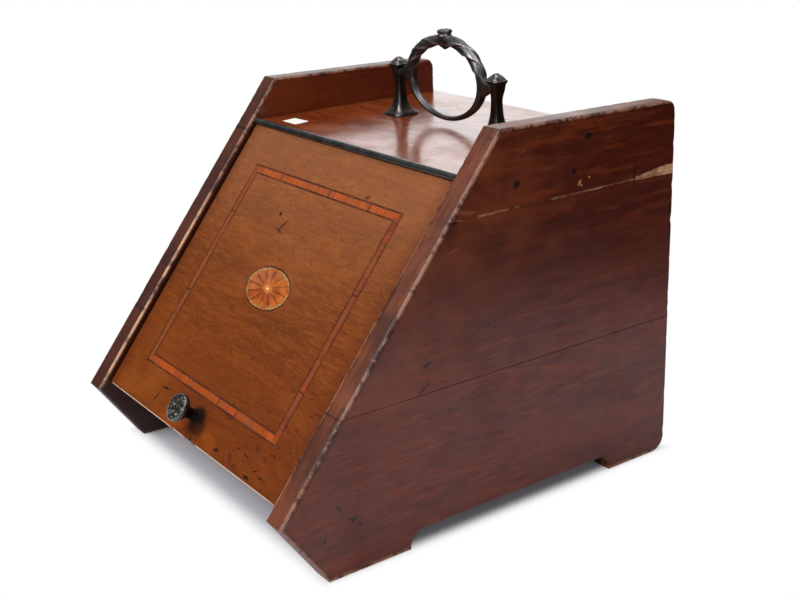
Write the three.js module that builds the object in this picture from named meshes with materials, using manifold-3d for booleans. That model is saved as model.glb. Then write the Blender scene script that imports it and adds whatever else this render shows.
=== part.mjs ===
// Coal box of the Edwardian kind: a mahogany case with a sloping, inlaid flap, a continuous hinge across
// its top edge, a swinging ring handle between two posts, and a loose sheet-metal liner for the coal.
// Millimetres. x runs across the front, y from the nose to the back, z up from the floor.
import * as THREE from "three";
import { mergeVertices } from "three/addons/utils/BufferGeometryUtils.js";
import Module from "manifold-3d";

const wasm = await Module();
wasm.setup();

// ---- Case ----
const caseWidth = 350;
const caseDepth = 391.5;
const sideThick = 21.5;
const sideHeight = 316; // top edge at its front end
const topFall = 3; // the top edge is this much lower at the back
const noseHeight = 57.6;
const ridgeSetback = 206.5; // where the slope meets the top edge
const footSetback = 39; // the front foot's tip, behind the nose
const archFront = 114; // the cut-out between the feet
const archBack = 325.5;
const archToe = 1.5;
const coveRadius = 13;
const heelRadius = 14;
const cornerRadius = 9;
const arris = 1.4; // eased edges of the sides
const softArris = 0.8; // eased edges of the other boards
const rightSeams = [127, 254.5]; // heights of the glued joints in each side
const leftSeams = [123, 273];
const glueLine = 0.3;
const fit = 0.3; // clearance between pieces that seat on each other

// ---- Boards between the sides ----
const topHeight = 280.5; // upper face of the top board
const topThick = 14;
const backThick = 12;
const backSeams = [100, 184];
const floorRise = 16;
const floorThick = 12;
const frontThick = 10;
const frontPitch = 28.8; // degrees that the sloping front board falls towards the back
const frontShut = 1; // gap between the flap and the front board's bevelled end
const frontStart = 25; // where the front board's lower face begins
const frontStartHeight = 51;
const housing = 5; // depth of the grooves that hold the boards in the sides

// ---- Flap ----
const flapThick = 14;
const flapRecess = 5.5; // below the slope of the sides
const flapBottom = 11; // along the slope, from the nose
const flapSideGap = 2.2;
const flapCorner = 3;
const stopWidth = 8;
const stopDepth = 8;
const stopBottomGap = 15; // from the flap's lower end
const stopTopGap = 24; // from the flap's upper end

// ---- Inlay ----
const inlayThick = 1.2;
const stringWidth = 0.9;
const bandWidth = 5.8;
const bandSideMargin = 36.5; // from the flap's side edges to the outer stringing
const bandBottomMargin = 35.8;
const bandTopMargin = 36.4;
const pateraRise = 3.5; // its centre, above the middle of the banded rectangle
const pateraHalfLong = 33; // across the flap
const pateraHalfShort = 19.2;
const pateraBorder = 0.9;
const pateraScallop = 3.4; // depth of the pale tips
const petals = 12;
const petalGroove = 0.35;

// ---- Hinge ----
const barrelRadius = 3;
const hingePinRadius = 1.1;
const hingeBore = 1.4;
const barrelProud = 1.1; // axis above the flap's face
const barrelSink = 1; // axis below the top board's face
const barrelClear = 0.5;
const hingeEnd = 1; // gap between the hinge and each side
const knuckles = 11;
const knuckleGap = 0.4;
const leafThick = 1.2;
const leafDepth = 14.5;
const leafGap = 0.6; // between the folded leaves
const hingeScrewCount = 4; // in each leaf
const hingeScrewInset = 26.5; // from the leaf's ends
const hingeScrewDrop = 11; // below the axis
const screwHead = 2.3;
const screwShank = 1.2;
const screwLength = 8;

// ---- Knob ----
const knobPlace = 31.3; // along the slope
const knobRadius = 12.3;
const knobRise = 21.4;
const knobNeck = 4.2;
const knobCollar = 6.2;
const knobPetals = 8;
const knobRelief = 0.45;
const boltRadius = 2;
const boltDepth = 9;
const boltHead = 4.6;
const boltHeadRise = 2.6;

// ---- Handle ----
const handleShift = -6; // the handle stands a little left of the middle
const handleSetback = 294.5;
const postHalfSpan = 70;
const postHeight = 53.4;
const postBase = 11.7;
const postNeck = 3.7;
const postFlare = 15; // height of the flared foot
const postEye = 4.1; // half width where the pivot enters
const postEyeHalf = 3.8; // half height of that part
const postCap = 6.6;
const capRise = 8.7;
const pivotRise = 40.5;
const pivotRadius = 1.5;
const pivotHole = 1.8;
const pivotInPost = 5;
const pivotInRing = 8;
const ringHalfWidth = 50.7; // centre line
const ringHalfHeight = 34;
const gripRadius = 4.9;
const bowRadius = 2.4; // the thin lower arc
const bowDepth = 3.4; // half depth of that arc, which is a strap
const ringLobes = 3;
const ringTwist = 15; // turn of the lobes, for each unit of angle from the boss
const lobeDepth = 0.6;
const lugRadius = 3.5;
const webHalfHeight = 8.8; // where a lug springs from the ring
const webHalfDepth = 4.2;
const webStart = 4; // inside the ring's centre line
const bossRadius = 5.6;
const bossRise = 7; // above where it leaves the ring
const pendantHalf = 8; // the leaf tip that hangs inside the ring, under the boss
const pendantRise = 4.3;
const pendantDrop = 2.6; // its centre, below the ring's centre line
const studRadius = 3;
const washerRadius = 8;
const washerThick = 1.5;
const nutHalf = 5.5;
const nutThick = 5;
const studSpare = 2;

// ---- Liner ----
const linerWall = 1.2;
const linerTop = 140;
const linerBackGap = 13.5; // to the back boards
const linerFrontGap = 2;
const linerFlapGap = 3.5;
const linerSideGap = 3; // to the flap stops
const hemDepth = 4;
const hemThick = 1.2;
const gripHalf = 48;
const gripFoot = 14;
const gripReach = 20;
const gripSplay = 5; // the arms lean in by this much
const gripThick = 2;
const gripHeight = 119;
const gripBand = 14;
const rivetRadius = 2;
const rivetHead = 3.8;

// ---- Worked out from the sizes above ----
const slopeAngle = Math.atan2(sideHeight - noseHeight, ridgeSetback);
const innerHalf = caseWidth / 2 - sideThick;
const axisHeight = topHeight - barrelSink;
const axisLift = barrelProud - flapRecess; // hinge axis, measured square to the slope
const axisSetback =
  (Math.cos(slopeAngle) * (axisHeight - noseHeight) - axisLift) / Math.sin(slopeAngle);
const axisReach =
  Math.cos(slopeAngle) * axisSetback + Math.sin(slopeAngle) * (axisHeight - noseHeight);
const leafStack = leafGap / 2 + leafThick;
const flapTop = axisReach - leafStack - fit;
const flapHalf = innerHalf - flapSideGap;
const flapFace = -flapRecess;
const flapInside = flapFace - flapThick;
const hingeHalf = innerHalf - hingeEnd;
const hingeScrews = Array.from(
  { length: hingeScrewCount },
  (_, i) => (hingeHalf - hingeScrewInset) * ((2 * i) / (hingeScrewCount - 1) - 1),
);
const stopBottom = flapBottom + stopBottomGap;
const stopTop = flapTop - stopTopGap;
const bandHalf = flapHalf - bandSideMargin;
const bandBottom = flapBottom + bandBottomMargin;
const bandTop = flapTop - bandTopMargin;
const pateraCentre = (bandBottom + bandTop) / 2 + pateraRise;
const linerBack = caseDepth - backThick - linerBackGap;

const wood = (color, roughness) =>
  new THREE.MeshStandardMaterial({ color, roughness, metalness: 0 });
const metal = (color, roughness) =>
  new THREE.MeshStandardMaterial({ color, roughness, metalness: 0.9 });
const caseWood = wood(0x4a1a0c, 0.35);
const topWood = wood(0x6b3320, 0.28);
const flapWood = wood(0x8a4a22, 0.38);
const innerWood = wood(0x6d4f35, 0.7);
const satinwood = wood(0xb0571f, 0.4);
const ebony = wood(0x1c120c, 0.45);
const paleWood = wood(0xc99a63, 0.42);
const shadedWood = wood(0xa85c28, 0.42);
const darkBronze = metal(0x2b2925, 0.42);
const steel = metal(0x6a6a68, 0.45);
const blackSheet = metal(0x2f3032, 0.55);

const group = new THREE.Group();
group.position.y = -caseDepth / 2;
const slope = new THREE.Group(); // x across, y up the slope from the nose, z square out of it
slope.position.z = noseHeight;
slope.rotation.x = slopeAngle;
group.add(slope);

// Adds one named piece to the case, or to the slope.
function add(name, material, geometry, parent = group) {
  const mesh = new THREE.Mesh(geometry, material);
  mesh.name = name;
  parent.add(mesh);
  return mesh;
}

// A closed geometry as a solid that can be cut and joined.
function solid(geometry) {
  const bare = geometry.clone();
  bare.deleteAttribute("normal");
  bare.deleteAttribute("uv");
  const merged = mergeVertices(bare, 1e-4);
  const indices = merged.index.array;
  const kept = [];
  for (let i = 0; i < indices.length; i += 3) {
    const [a, b, c] = [indices[i], indices[i + 1], indices[i + 2]];
    if (a !== b && b !== c && a !== c) kept.push(a, b, c);
  }
  return new wasm.Manifold(
    new wasm.Mesh({
      numProp: 3,
      vertProperties: merged.attributes.position.array,
      triVerts: new Uint32Array(kept),
    }),
  );
}

// A solid back as a geometry with flat faces.
function geometryOf(body) {
  const mesh = body.getMesh();
  const geometry = new THREE.BufferGeometry();
  geometry.setAttribute("position", new THREE.BufferAttribute(mesh.vertProperties, 3));
  geometry.setIndex(new THREE.BufferAttribute(mesh.triVerts, 1));
  const flat = geometry.toNonIndexed();
  flat.computeVertexNormals();
  return flat;
}

const cut = (body, tools) => tools.reduce((left, tool) => left.subtract(tool), body);
const join = (bodies) => bodies.reduce((all, body) => all.add(body));

// A block between two corners.
function block(low, high) {
  const geometry = new THREE.BoxGeometry(high[0] - low[0], high[1] - low[1], high[2] - low[2]);
  return geometry.translate(
    (low[0] + high[0]) / 2,
    (low[1] + high[1]) / 2,
    (low[2] + high[2]) / 2,
  );
}

// A flat outline carried through a thickness, with eased edges where `ease` is above 0.
function slab(shape, thick, ease = 0, curveSegments = 4) {
  return new THREE.ExtrudeGeometry(shape, {
    depth: thick - 2 * ease,
    bevelEnabled: ease > 0,
    bevelThickness: ease,
    bevelSize: ease,
    bevelOffset: -ease,
    bevelSegments: 2,
    curveSegments,
  }).translate(0, 0, ease);
}

// An outline in y and z, carried across from x = -half to x = half.
const acrossCase = new THREE.Matrix4().makeBasis(
  new THREE.Vector3(0, 1, 0),
  new THREE.Vector3(0, 0, 1),
  new THREE.Vector3(1, 0, 0),
);
function beam(shape, half, ease = 0) {
  return slab(shape, 2 * half, ease)
    .applyMatrix4(acrossCase)
    .translate(-half, 0, 0);
}

const outline = (points) => new THREE.Shape(points.map(([a, b]) => new THREE.Vector2(a, b)));

function rectangle(x0, y0, x1, y1, corner = 0) {
  if (!corner) return outline([[x0, y0], [x1, y0], [x1, y1], [x0, y1]]);
  const shape = new THREE.Shape();
  shape.moveTo(x0 + corner, y0);
  shape.absarc(x1 - corner, y0 + corner, corner, -Math.PI / 2, 0);
  shape.absarc(x1 - corner, y1 - corner, corner, 0, Math.PI / 2);
  shape.absarc(x0 + corner, y1 - corner, corner, Math.PI / 2, Math.PI);
  shape.absarc(x0 + corner, y0 + corner, corner, Math.PI, Math.PI * 1.5);
  return shape;
}

// Where the line through a and b meets the line through c and d.
function crossing([a, b], [c, d]) {
  const u = [b[0] - a[0], b[1] - a[1]];
  const v = [d[0] - c[0], d[1] - c[1]];
  const t = ((c[0] - a[0]) * v[1] - (c[1] - a[1]) * v[0]) / (u[0] * v[1] - u[1] * v[0]);
  return [a[0] + t * u[0], a[1] + t * u[1]];
}

// A line moved square to itself; positive moves it right of its direction, so out of a
// counterclockwise outline.
function shifted([a, b], amount) {
  const length = Math.hypot(b[0] - a[0], b[1] - a[1]);
  const nx = ((b[1] - a[1]) / length) * amount;
  const ny = (-(b[0] - a[0]) / length) * amount;
  return [[a[0] + nx, a[1] + ny], [b[0] + nx, b[1] + ny]];
}

// A convex counterclockwise outline with each edge moved out by its own amount, or all by one.
function grown(points, amounts) {
  const edges = points.map((p, i) => {
    const next = points[(i + 1) % points.length];
    return shifted([p, next], Array.isArray(amounts) ? amounts[i] : amounts);
  });
  return edges.map((edge, i) => crossing(edges[(i + edges.length - 1) % edges.length], edge));
}

// A turned piece: radius against height, standing on its axis at z = 0.
function turned(profile, segments = 16) {
  const points = profile.map(([r, z]) => new THREE.Vector2(r, z));
  return new THREE.LatheGeometry(points, segments).rotateX(Math.PI / 2);
}

const rod = (radius, length, segments = 16) =>
  new THREE.CylinderGeometry(radius, radius, length, segments).rotateZ(Math.PI / 2);

// A point given along and square to the slope, in y and z of the case.
function offSlope(along, out) {
  const [c, s] = [Math.cos(slopeAngle), Math.sin(slopeAngle)];
  return [along * c - out * s, noseHeight + along * s + out * c];
}

// ---- Boards held between the sides: each is an outline in y and z ----

const slopeLine = (out) => [offSlope(0, out), offSlope(1, out)];
const edgeLine = (along) => [offSlope(along, 0), offSlope(along, -1)];
const level = (z) => [[0, z], [1, z]];
const upright = (y) => [[y, 0], [y, 1]];

const topFront = edgeLine(axisReach + leafStack + fit);
const topOutline = [
  crossing(topFront, level(topHeight - topThick)),
  [caseDepth, topHeight - topThick],
  [caseDepth, topHeight],
  crossing(topFront, level(topHeight)),
];

const backBottom = floorRise;
const backTop = topHeight - topThick - fit;
const backOutline = (low, high) => [
  [caseDepth - backThick, low],
  [caseDepth, low],
  [caseDepth, high],
  [caseDepth - backThick, high],
];

const frontTilt = THREE.MathUtils.degToRad(frontPitch);
const frontUnder = [
  [frontStart, frontStartHeight],
  [frontStart + Math.cos(frontTilt), frontStartHeight - Math.sin(frontTilt)],
];
const frontUpper = shifted(frontUnder, -frontThick);
const frontEnd = slopeLine(flapInside - frontShut);
const floorFront = crossing(frontUnder, level(floorRise))[0];
const frontOutline = [
  crossing(frontUnder, frontEnd),
  [floorFront, floorRise],
  crossing(frontUpper, upright(floorFront)),
  crossing(frontUpper, frontEnd),
];

const floorOutline = [
  [floorFront + fit, floorRise],
  [caseDepth - backThick - fit, floorRise],
  [caseDepth - backThick - fit, floorRise + floorThick],
  [floorFront + fit, floorRise + floorThick],
];

const housed = [
  topOutline,
  backOutline(backBottom, backTop),
  frontOutline,
  floorOutline,
];

// ---- Sides ----

// A side's outline in y and z: slope, sloping nose, two feet with coved insides and a worn heel.
function sideOutline() {
  const backHeight = sideHeight - topFall;
  const shape = new THREE.Shape();
  shape.moveTo(footSetback, 0);
  shape.lineTo(archFront, 0);
  shape.absarc(archFront + coveRadius, archToe, coveRadius, Math.PI, Math.PI / 2, true);
  shape.absarc(archBack - coveRadius, archToe, coveRadius, Math.PI / 2, 0, true);
  shape.lineTo(archBack, 0);
  shape.absarc(caseDepth - heelRadius, heelRadius, heelRadius, -Math.PI / 2, 0);
  shape.absarc(
    caseDepth - cornerRadius,
    backHeight - cornerRadius,
    cornerRadius,
    0,
    Math.PI / 2,
  );
  shape.lineTo(ridgeSetback, sideHeight);
  shape.lineTo(0, noseHeight);
  return shape;
}

// One side, sawn into its glued boards, with the housings cut in its inner face.
function addSide(name, sign, seams) {
  const whole = solid(beam(sideOutline(), sideThick / 2, arris)).translate([
    sign * (caseWidth / 2 - sideThick / 2),
    0,
    0,
  ]);
  const grooves = housed.map((points) =>
    solid(beam(outline(grown(points, fit)), innerHalf + housing)),
  );
  const side = cut(whole, grooves);
  const levels = [-1, ...seams, sideHeight + 1];
  ["bottom", "middle", "top"].forEach((part, i) => {
    const low = levels[i] + (i > 0 ? glueLine / 2 : 0);
    const high = levels[i + 1] - (i < 2 ? glueLine / 2 : 0);
    const layer = block([-caseWidth, -1, low], [caseWidth, caseDepth + 1, high]);
    add(`side_${name}_${part}_board`, caseWood, geometryOf(side.intersect(solid(layer))));
  });
}

// ---- Case boards ----

const boardHalf = innerHalf + housing - fit;
const barrelGroove = (y, z) =>
  solid(rod(barrelRadius + barrelClear, caseWidth, 24).translate(0, y, z));

// A wood screw, head up at z = 0, or the hole for one when `grow` is above 0.
function screw(grow = 0) {
  const sink = screwHead - screwShank;
  return turned(
    [
      [0, -screwLength - grow],
      [screwShank + grow, -screwLength + screwShank - grow],
      [screwShank + grow, -sink - grow],
      [screwHead + grow, -grow],
      [screwHead + grow, grow],
      [0, grow],
    ],
    10,
  );
}

// The flap's screws point down the slope, the top board's up it.
const screwSeat = (side) => axisReach + side * (leafGap / 2 + 0.1);
function placedScrew(side, x, grow = 0) {
  return screw(grow)
    .rotateX((side * Math.PI) / 2)
    .translate(x, screwSeat(side), axisLift - hingeScrewDrop);
}
const screwHoles = (side) => hingeScrews.map((x) => solid(placedScrew(side, x, fit)));

const toCase = (geometry) =>
  geometry.rotateX(slopeAngle).translate(0, 0, noseHeight);

function addTopBoard() {
  const board = solid(beam(outline(topOutline), boardHalf, softArris));
  const studs = [-1, 1].map((side) =>
    solid(
      new THREE.CylinderGeometry(studRadius + fit, studRadius + fit, 3 * topThick, 16)
        .rotateX(Math.PI / 2)
        .translate(handleShift + side * postHalfSpan, handleSetback, topHeight - topThick / 2),
    ),
  );
  const screws = hingeScrews.map((x) => solid(toCase(placedScrew(1, x, fit))));
  const groove = barrelGroove(axisSetback, axisHeight);
  add("top_board", topWood, geometryOf(cut(board, [groove, ...studs, ...screws])));
}

function addBackBoards() {
  const levels = [backBottom, ...backSeams, backTop];
  ["lower", "middle", "upper"].forEach((part, i) => {
    const low = levels[i] + (i > 0 ? glueLine / 2 : 0);
    const high = levels[i + 1] - (i < 2 ? glueLine / 2 : 0);
    add(
      `back_board_${part}`,
      innerWood,
      beam(outline(backOutline(low, high)), boardHalf, softArris),
    );
  });
}

function addBottom() {
  add("floor_board", innerWood, beam(outline(floorOutline), boardHalf));
  add("front_sloping_board", innerWood, beam(outline(frontOutline), boardHalf));
}

function addFlapStops() {
  for (const [name, sign] of [["left", -1], ["right", 1]]) {
    const outer = sign * (innerHalf - fit);
    const inner = sign * (innerHalf - stopWidth);
    const high = flapInside - fit;
    add(
      `flap_stop_${name}`,
      innerWood,
      block(
        [Math.min(outer, inner), stopBottom, high - stopDepth],
        [Math.max(outer, inner), stopTop, high],
      ),
      slope,
    );
  }
}

// ---- Flap and its inlay ----

// A closed loop between two outlines of the same kind.
function frameShape(outer, inner) {
  outer.holes.push(new THREE.Path(inner.getPoints(12).reverse()));
  return outer;
}

// The banded rectangle, `inset` in from its outer edge.
function bandCorners(inset) {
  const x = bandHalf - inset;
  return [[-x, bandBottom + inset], [x, bandBottom + inset], [x, bandTop - inset], [-x, bandTop - inset]];
}
const bandFrame = (from, to) => frameShape(outline(bandCorners(from)), outline(bandCorners(to)));

function ovalShape(grow) {
  const shape = new THREE.Shape();
  shape.absellipse(
    0,
    pateraCentre,
    pateraHalfLong + grow,
    pateraHalfShort + grow,
    0,
    2 * Math.PI,
  );
  return shape;
}

const outerString = fit;
const bandStart = outerString + stringWidth + fit;
const innerString = bandStart + bandWidth + fit;
const bandEnd = innerString + stringWidth + fit;

// Pieces let in flush with the flap's face.
const inlayFloor = flapFace - inlayThick;
const inlaid = (shape, segments) => slab(shape, inlayThick, 0, segments).translate(0, 0, inlayFloor);
const recess = (shape, segments) =>
  solid(slab(shape, inlayThick + 2 * fit, 0, segments).translate(0, 0, inlayFloor - fit));

function addFlapPanel() {
  const board = solid(
    slab(
      rectangle(-flapHalf, flapBottom, flapHalf, flapTop, flapCorner),
      flapThick,
      softArris,
      3,
    ).translate(0, 0, flapInside),
  );
  const boltHole = solid(
    turned([[0, flapInside - 1], [boltRadius + fit, flapInside - 1], [boltRadius + fit, 1], [0, 1]])
      .translate(0, knobPlace, 0),
  );
  const cuts = [
    barrelGroove(axisReach, axisLift),
    recess(bandFrame(0, bandEnd)),
    recess(ovalShape(fit), 24),
    boltHole,
    ...screwHoles(-1),
  ];
  add("flap_panel", flapWood, geometryOf(cut(board, cuts)), slope);
}

// Four mitred strips of cross-grained wood between two dark strings.
function addBanding() {
  const outer = bandCorners(bandStart);
  const inner = bandCorners(bandStart + bandWidth);
  ["bottom", "right", "top", "left"].forEach((side, i) => {
    const j = (i + 1) % 4;
    const strip = grown([outer[i], outer[j], inner[j], inner[i]], [0, -fit / 2, 0, -fit / 2]);
    add(`banding_${side}`, satinwood, inlaid(outline(strip)), slope);
  });
  const strings = [["outer", outerString], ["inner", innerString]];
  for (const [name, inset] of strings)
    add(
      `stringing_${name}`,
      ebony,
      inlaid(bandFrame(inset, inset + stringWidth)),
      slope,
    );
}

// The scalloped edge between the shaded petals and their pale tips.
function scallopShape(grow) {
  const points = [];
  const steps = petals * 6;
  for (let i = 0; i < steps; i++) {
    const angle = (2 * Math.PI * i) / steps;
    const lobe = Math.abs(Math.sin((petals / 2) * angle));
    const inset = pateraScallop * (1 - 0.75 * lobe) - grow;
    points.push([
      (pateraHalfLong - pateraBorder - fit - inset) * Math.cos(angle),
      pateraCentre + (pateraHalfShort - pateraBorder - fit - inset) * Math.sin(angle),
    ]);
  }
  return outline(points);
}

// An oval patera: a dark border, a ring of pale tips and a fan of shaded petals with grooves between.
function addPatera() {
  const border = frameShape(ovalShape(0), ovalShape(-pateraBorder));
  add("patera_border", ebony, inlaid(border, 24), slope);
  const tips = frameShape(ovalShape(-pateraBorder - fit), scallopShape(0));
  add("patera_tips", paleWood, inlaid(tips, 24), slope);
  const fan = solid(inlaid(scallopShape(-fit)));
  const grooves = Array.from({ length: petals }, (_, i) => {
    const angle = (2 * Math.PI * i) / petals;
    const long = pateraHalfLong;
    const knife = new THREE.CylinderGeometry(petalGroove, petalGroove, long, 4)
      .rotateZ(-Math.PI / 2)
      .translate(long / 2 + 1.5, 0, 0)
      .rotateZ(angle)
      .translate(0, pateraCentre, flapFace);
    return solid(knife);
  });
  add("patera_fan", shadedWood, geometryOf(cut(fan, grooves)), slope);
}

// ---- Continuous hinge ----

// One leaf: side -1 is screwed to the flap, side 1 to the top board. Its knuckles take every other place.
function hingeLeaf(side) {
  const near = axisReach + (side * leafGap) / 2;
  const far = near + side * leafThick;
  const [low, high] = [Math.min(near, far), Math.max(near, far)];
  const pitch = (2 * hingeHalf) / knuckles;
  const rootDepth = axisLift - barrelRadius - knuckleGap;
  const parts = [
    solid(block([-hingeHalf, low, axisLift - leafDepth], [hingeHalf, high, rootDepth])),
  ];
  for (let i = side < 0 ? 1 : 0; i < knuckles; i += 2) {
    const x0 = -hingeHalf + i * pitch + (i > 0 ? knuckleGap / 2 : 0);
    const x1 = -hingeHalf + (i + 1) * pitch - (i < knuckles - 1 ? knuckleGap / 2 : 0);
    parts.push(
      solid(rod(barrelRadius, x1 - x0, 20).translate((x0 + x1) / 2, axisReach, axisLift)),
      solid(block([x0, low, rootDepth - 0.5], [x1, high, axisLift - barrelRadius * 0.6])),
    );
  }
  const bore = solid(rod(hingeBore, caseWidth, 16).translate(0, axisReach, axisLift));
  return cut(join(parts), [bore, ...screwHoles(side)]);
}

function addHinge() {
  add("hinge_flap_leaf", darkBronze, geometryOf(hingeLeaf(-1)), slope);
  add("hinge_top_leaf", darkBronze, geometryOf(hingeLeaf(1)), slope);
  add(
    "hinge_pin",
    steel,
    rod(hingePinRadius, 2 * hingeHalf, 16).translate(0, axisReach, axisLift),
    slope,
  );
  for (const [name, side] of [["flap", -1], ["top", 1]])
    hingeScrews.forEach((x, i) =>
      add(`hinge_${name}_screw_${i + 1}`, steel, placedScrew(side, x), slope),
    );
}

// ---- Knob ----

// Turned knob with a rosette in its dished face; the petals rise and fall round the axis.
function addKnob() {
  const r = knobRadius;
  const h = knobRise;
  const profile = [
    [0, 0], [knobCollar, 0], [knobCollar, h * 0.05], [knobCollar * 0.85, h * 0.09],
    [knobNeck, h * 0.13], [knobNeck * 0.93, h * 0.28], [knobNeck * 1.05, h * 0.42],
    [r * 0.5, h * 0.61], [r * 0.8, h * 0.72], [r * 0.97, h * 0.82], [r, h * 0.9],
    [r * 0.96, h * 0.967], [r * 0.89, h * 0.99], [r * 0.82, h * 0.963], [r * 0.76, h * 0.916],
    [r * 0.6, h * 0.94], [r * 0.42, h * 0.953], [r * 0.3, h * 0.93], [r * 0.24, h * 0.977],
    [r * 0.12, h], [0, h],
  ];
  const geometry = turned(profile, 32);
  const at = geometry.attributes.position;
  for (let i = 0; i < at.count; i++) {
    const radius = Math.hypot(at.getX(i), at.getY(i));
    const inFace = at.getZ(i) > h * 0.91 && radius > r * 0.35 && radius < r * 0.79;
    if (!inFace) continue;
    const angle = Math.atan2(at.getY(i), at.getX(i));
    at.setZ(i, at.getZ(i) + knobRelief * Math.cos(knobPetals * angle));
  }
  const bore = solid(
    turned([[0, -1], [boltRadius + fit, -1], [boltRadius + fit, boltDepth + fit], [0, boltDepth + fit]]),
  );
  const knob = add("knob", darkBronze, geometryOf(cut(solid(geometry), [bore])), slope);
  knob.position.set(0, knobPlace, flapFace + fit);

  const grip = flapThick + 2 * fit;
  const bolt = add(
    "knob_bolt",
    steel,
    turned([
      [0, -boltHeadRise], [boltHead * 0.6, -boltHeadRise], [boltHead, -boltHeadRise * 0.4],
      [boltHead, 0], [boltRadius, 0], [boltRadius, grip + boltDepth], [0, grip + boltDepth],
    ]),
    slope,
  );
  bolt.position.set(0, knobPlace, flapInside - fit);
}

// ---- Ring handle ----

// A turned piece drawn out to four ridges: profile rows are half width, height and how far the
// corners stand out, from 1 for round to the square root of 2 for sharp corners.
function ridged(rows, segments = 16) {
  const geometry = turned(rows, segments);
  const at = geometry.attributes.position;
  for (let i = 0; i < at.count; i++) {
    const radius = Math.hypot(at.getX(i), at.getY(i));
    if (radius < 1e-6) continue;
    const row = rows[i % rows.length];
    const angle = Math.atan2(at.getY(i), at.getX(i));
    const ridge = Math.abs(Math.sin(2 * angle)) ** 3;
    const stretch = 1 + (row[2] - 1) * ridge;
    at.setX(i, at.getX(i) * stretch);
    at.setY(i, at.getY(i) * stretch);
  }
  return geometry;
}

function postSolid(side) {
  const top = postHeight;
  const foot = postFlare;
  const cap = capRise;
  const rows = [
    [0, 0, 1.34], [postBase, 0, 1.34], [postBase * 1.03, foot * 0.09, 1.34],
    [postBase * 0.95, foot * 0.19, 1.34], [postBase * 0.72, foot * 0.31, 1.34],
    [postBase * 0.56, foot * 0.48, 1.32], [postBase * 0.45, foot * 0.7, 1.28],
    [postNeck * 1.18, foot, 1.24], [postNeck, pivotRise * 0.54, 1.2],
    [postNeck * 0.98, pivotRise * 0.74, 1.18], [postEye, pivotRise - postEyeHalf, 1.18],
    [postEye, pivotRise + postEyeHalf, 1.2], [postCap * 0.8, top - cap, 1.3],
    [postCap * 0.97, top - cap * 0.9, 1.34], [postCap, top - cap * 0.8, 1.34],
    [postCap * 0.9, top - cap * 0.64, 1.3], [postCap * 0.72, top - cap * 0.34, 1.22],
    [postCap * 0.42, top - cap * 0.1, 1.1], [0, top, 1],
  ];
  const studLength = topThick + washerThick + nutThick + studSpare;
  const stud = solid(
    turned([[0, -studLength], [studRadius, -studLength], [studRadius, 1], [0, 1]]),
  );
  const bore = solid(
    rod(pivotHole, 2 * (pivotInPost + fit), 16).translate(-side * postEye, 0, pivotRise),
  );
  return cut(join([solid(ridged(rows)), stud]), [bore]);
}

const smooth = (low, high, value) => THREE.MathUtils.smoothstep(value, low, high);

// The ring is a torus redrawn: an oval centre line, a tube that is a thin strap below and full above,
// and lobes that twist away from the boss on either side of it.
function ringTube() {
  const torus = new THREE.TorusGeometry(1, 0.5, 14, 84);
  const at = torus.attributes.position;
  for (let i = 0; i < at.count; i++) {
    const [x, y, z] = [at.getX(i), at.getY(i), at.getZ(i)];
    const round = Math.atan2(y, x);
    const about = Math.atan2(z, Math.hypot(x, y) - 1);
    const normal = new THREE.Vector2(
      Math.cos(round) / ringHalfWidth,
      Math.sin(round) / ringHalfHeight,
    ).normalize();
    const rise = Math.sin(round);
    const fromBoss = Math.abs(round - Math.PI / 2);
    const full = smooth(-1, 0.1, rise);
    const lobed = smooth(0.1, 0.35, rise) * (1 - smooth(0.96, 1, rise));
    const lobe = lobeDepth * lobed * Math.cos(ringLobes * about + ringTwist * fromBoss);
    const high = THREE.MathUtils.lerp(bowRadius, gripRadius - lobeDepth / 2, full) + lobe;
    const deep = THREE.MathUtils.lerp(bowDepth, gripRadius - lobeDepth / 2, full) + lobe;
    at.setXYZ(
      i,
      ringHalfWidth * Math.cos(round) + high * Math.cos(about) * normal.x,
      ringHalfHeight * Math.sin(round) + high * Math.cos(about) * normal.y,
      deep * Math.sin(about),
    );
  }
  return torus.rotateX(Math.PI / 2);
}

// A lug: an oval web where it springs from the ring, round where the pin enters it.
function lug(side, end) {
  const start = ringHalfWidth - webStart;
  const row = (web, share) => [
    THREE.MathUtils.lerp(lugRadius, webHalfHeight, web),
    THREE.MathUtils.lerp(lugRadius, webHalfDepth, web),
    share * (end - start),
  ]; // half height, half depth, reach
  const rows = [
    [0, 0, 0], row(0.6, 0), row(1, 0.14), row(0.98, 0.3), row(0.7, 0.5), row(0.4, 0.66),
    row(0.1, 0.83), row(0, 1), [0, 0, end - start],
  ];
  const geometry = turned(rows.map(([high, , reach]) => [high, reach]));
  const at = geometry.attributes.position;
  for (let i = 0; i < at.count; i++) {
    const [high, deep] = rows[i % rows.length];
    if (high) at.setY(i, (at.getY(i) * deep) / high);
  }
  return solid(geometry.rotateY((side * Math.PI) / 2).translate(side * start, 0, 0));
}

function ringSolid() {
  const lugEnd = postHalfSpan - postEye - fit;
  const lugs = [-1, 1].map((side) => lug(side, lugEnd));
  const bossSeat = ringHalfHeight + gripRadius * 0.6;
  const boss = solid(
    turned([
      [0, 0], [bossRadius * 0.7, 0], [bossRadius * 0.75, bossRise * 0.34],
      [bossRadius, bossRise * 0.43], [bossRadius * 1.02, bossRise * 0.66],
      [bossRadius * 0.86, bossRise * 0.91], [bossRadius * 0.6, bossRise * 0.86],
      [bossRadius * 0.3, bossRise * 0.97], [0, bossRise],
    ]).translate(0, 0, bossSeat),
  );
  const pendant = solid(
    new THREE.SphereGeometry(1, 14, 10)
      .scale(pendantHalf, gripRadius * 0.92, pendantRise)
      .translate(0, 0, ringHalfHeight - pendantDrop),
  );
  const bores = [-1, 1].map((side) =>
    solid(rod(pivotHole, 2 * (pivotInRing + fit), 16).translate(side * lugEnd, 0, 0)),
  );
  return cut(join([solid(ringTube()), ...lugs, boss, pendant]), bores);
}

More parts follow.
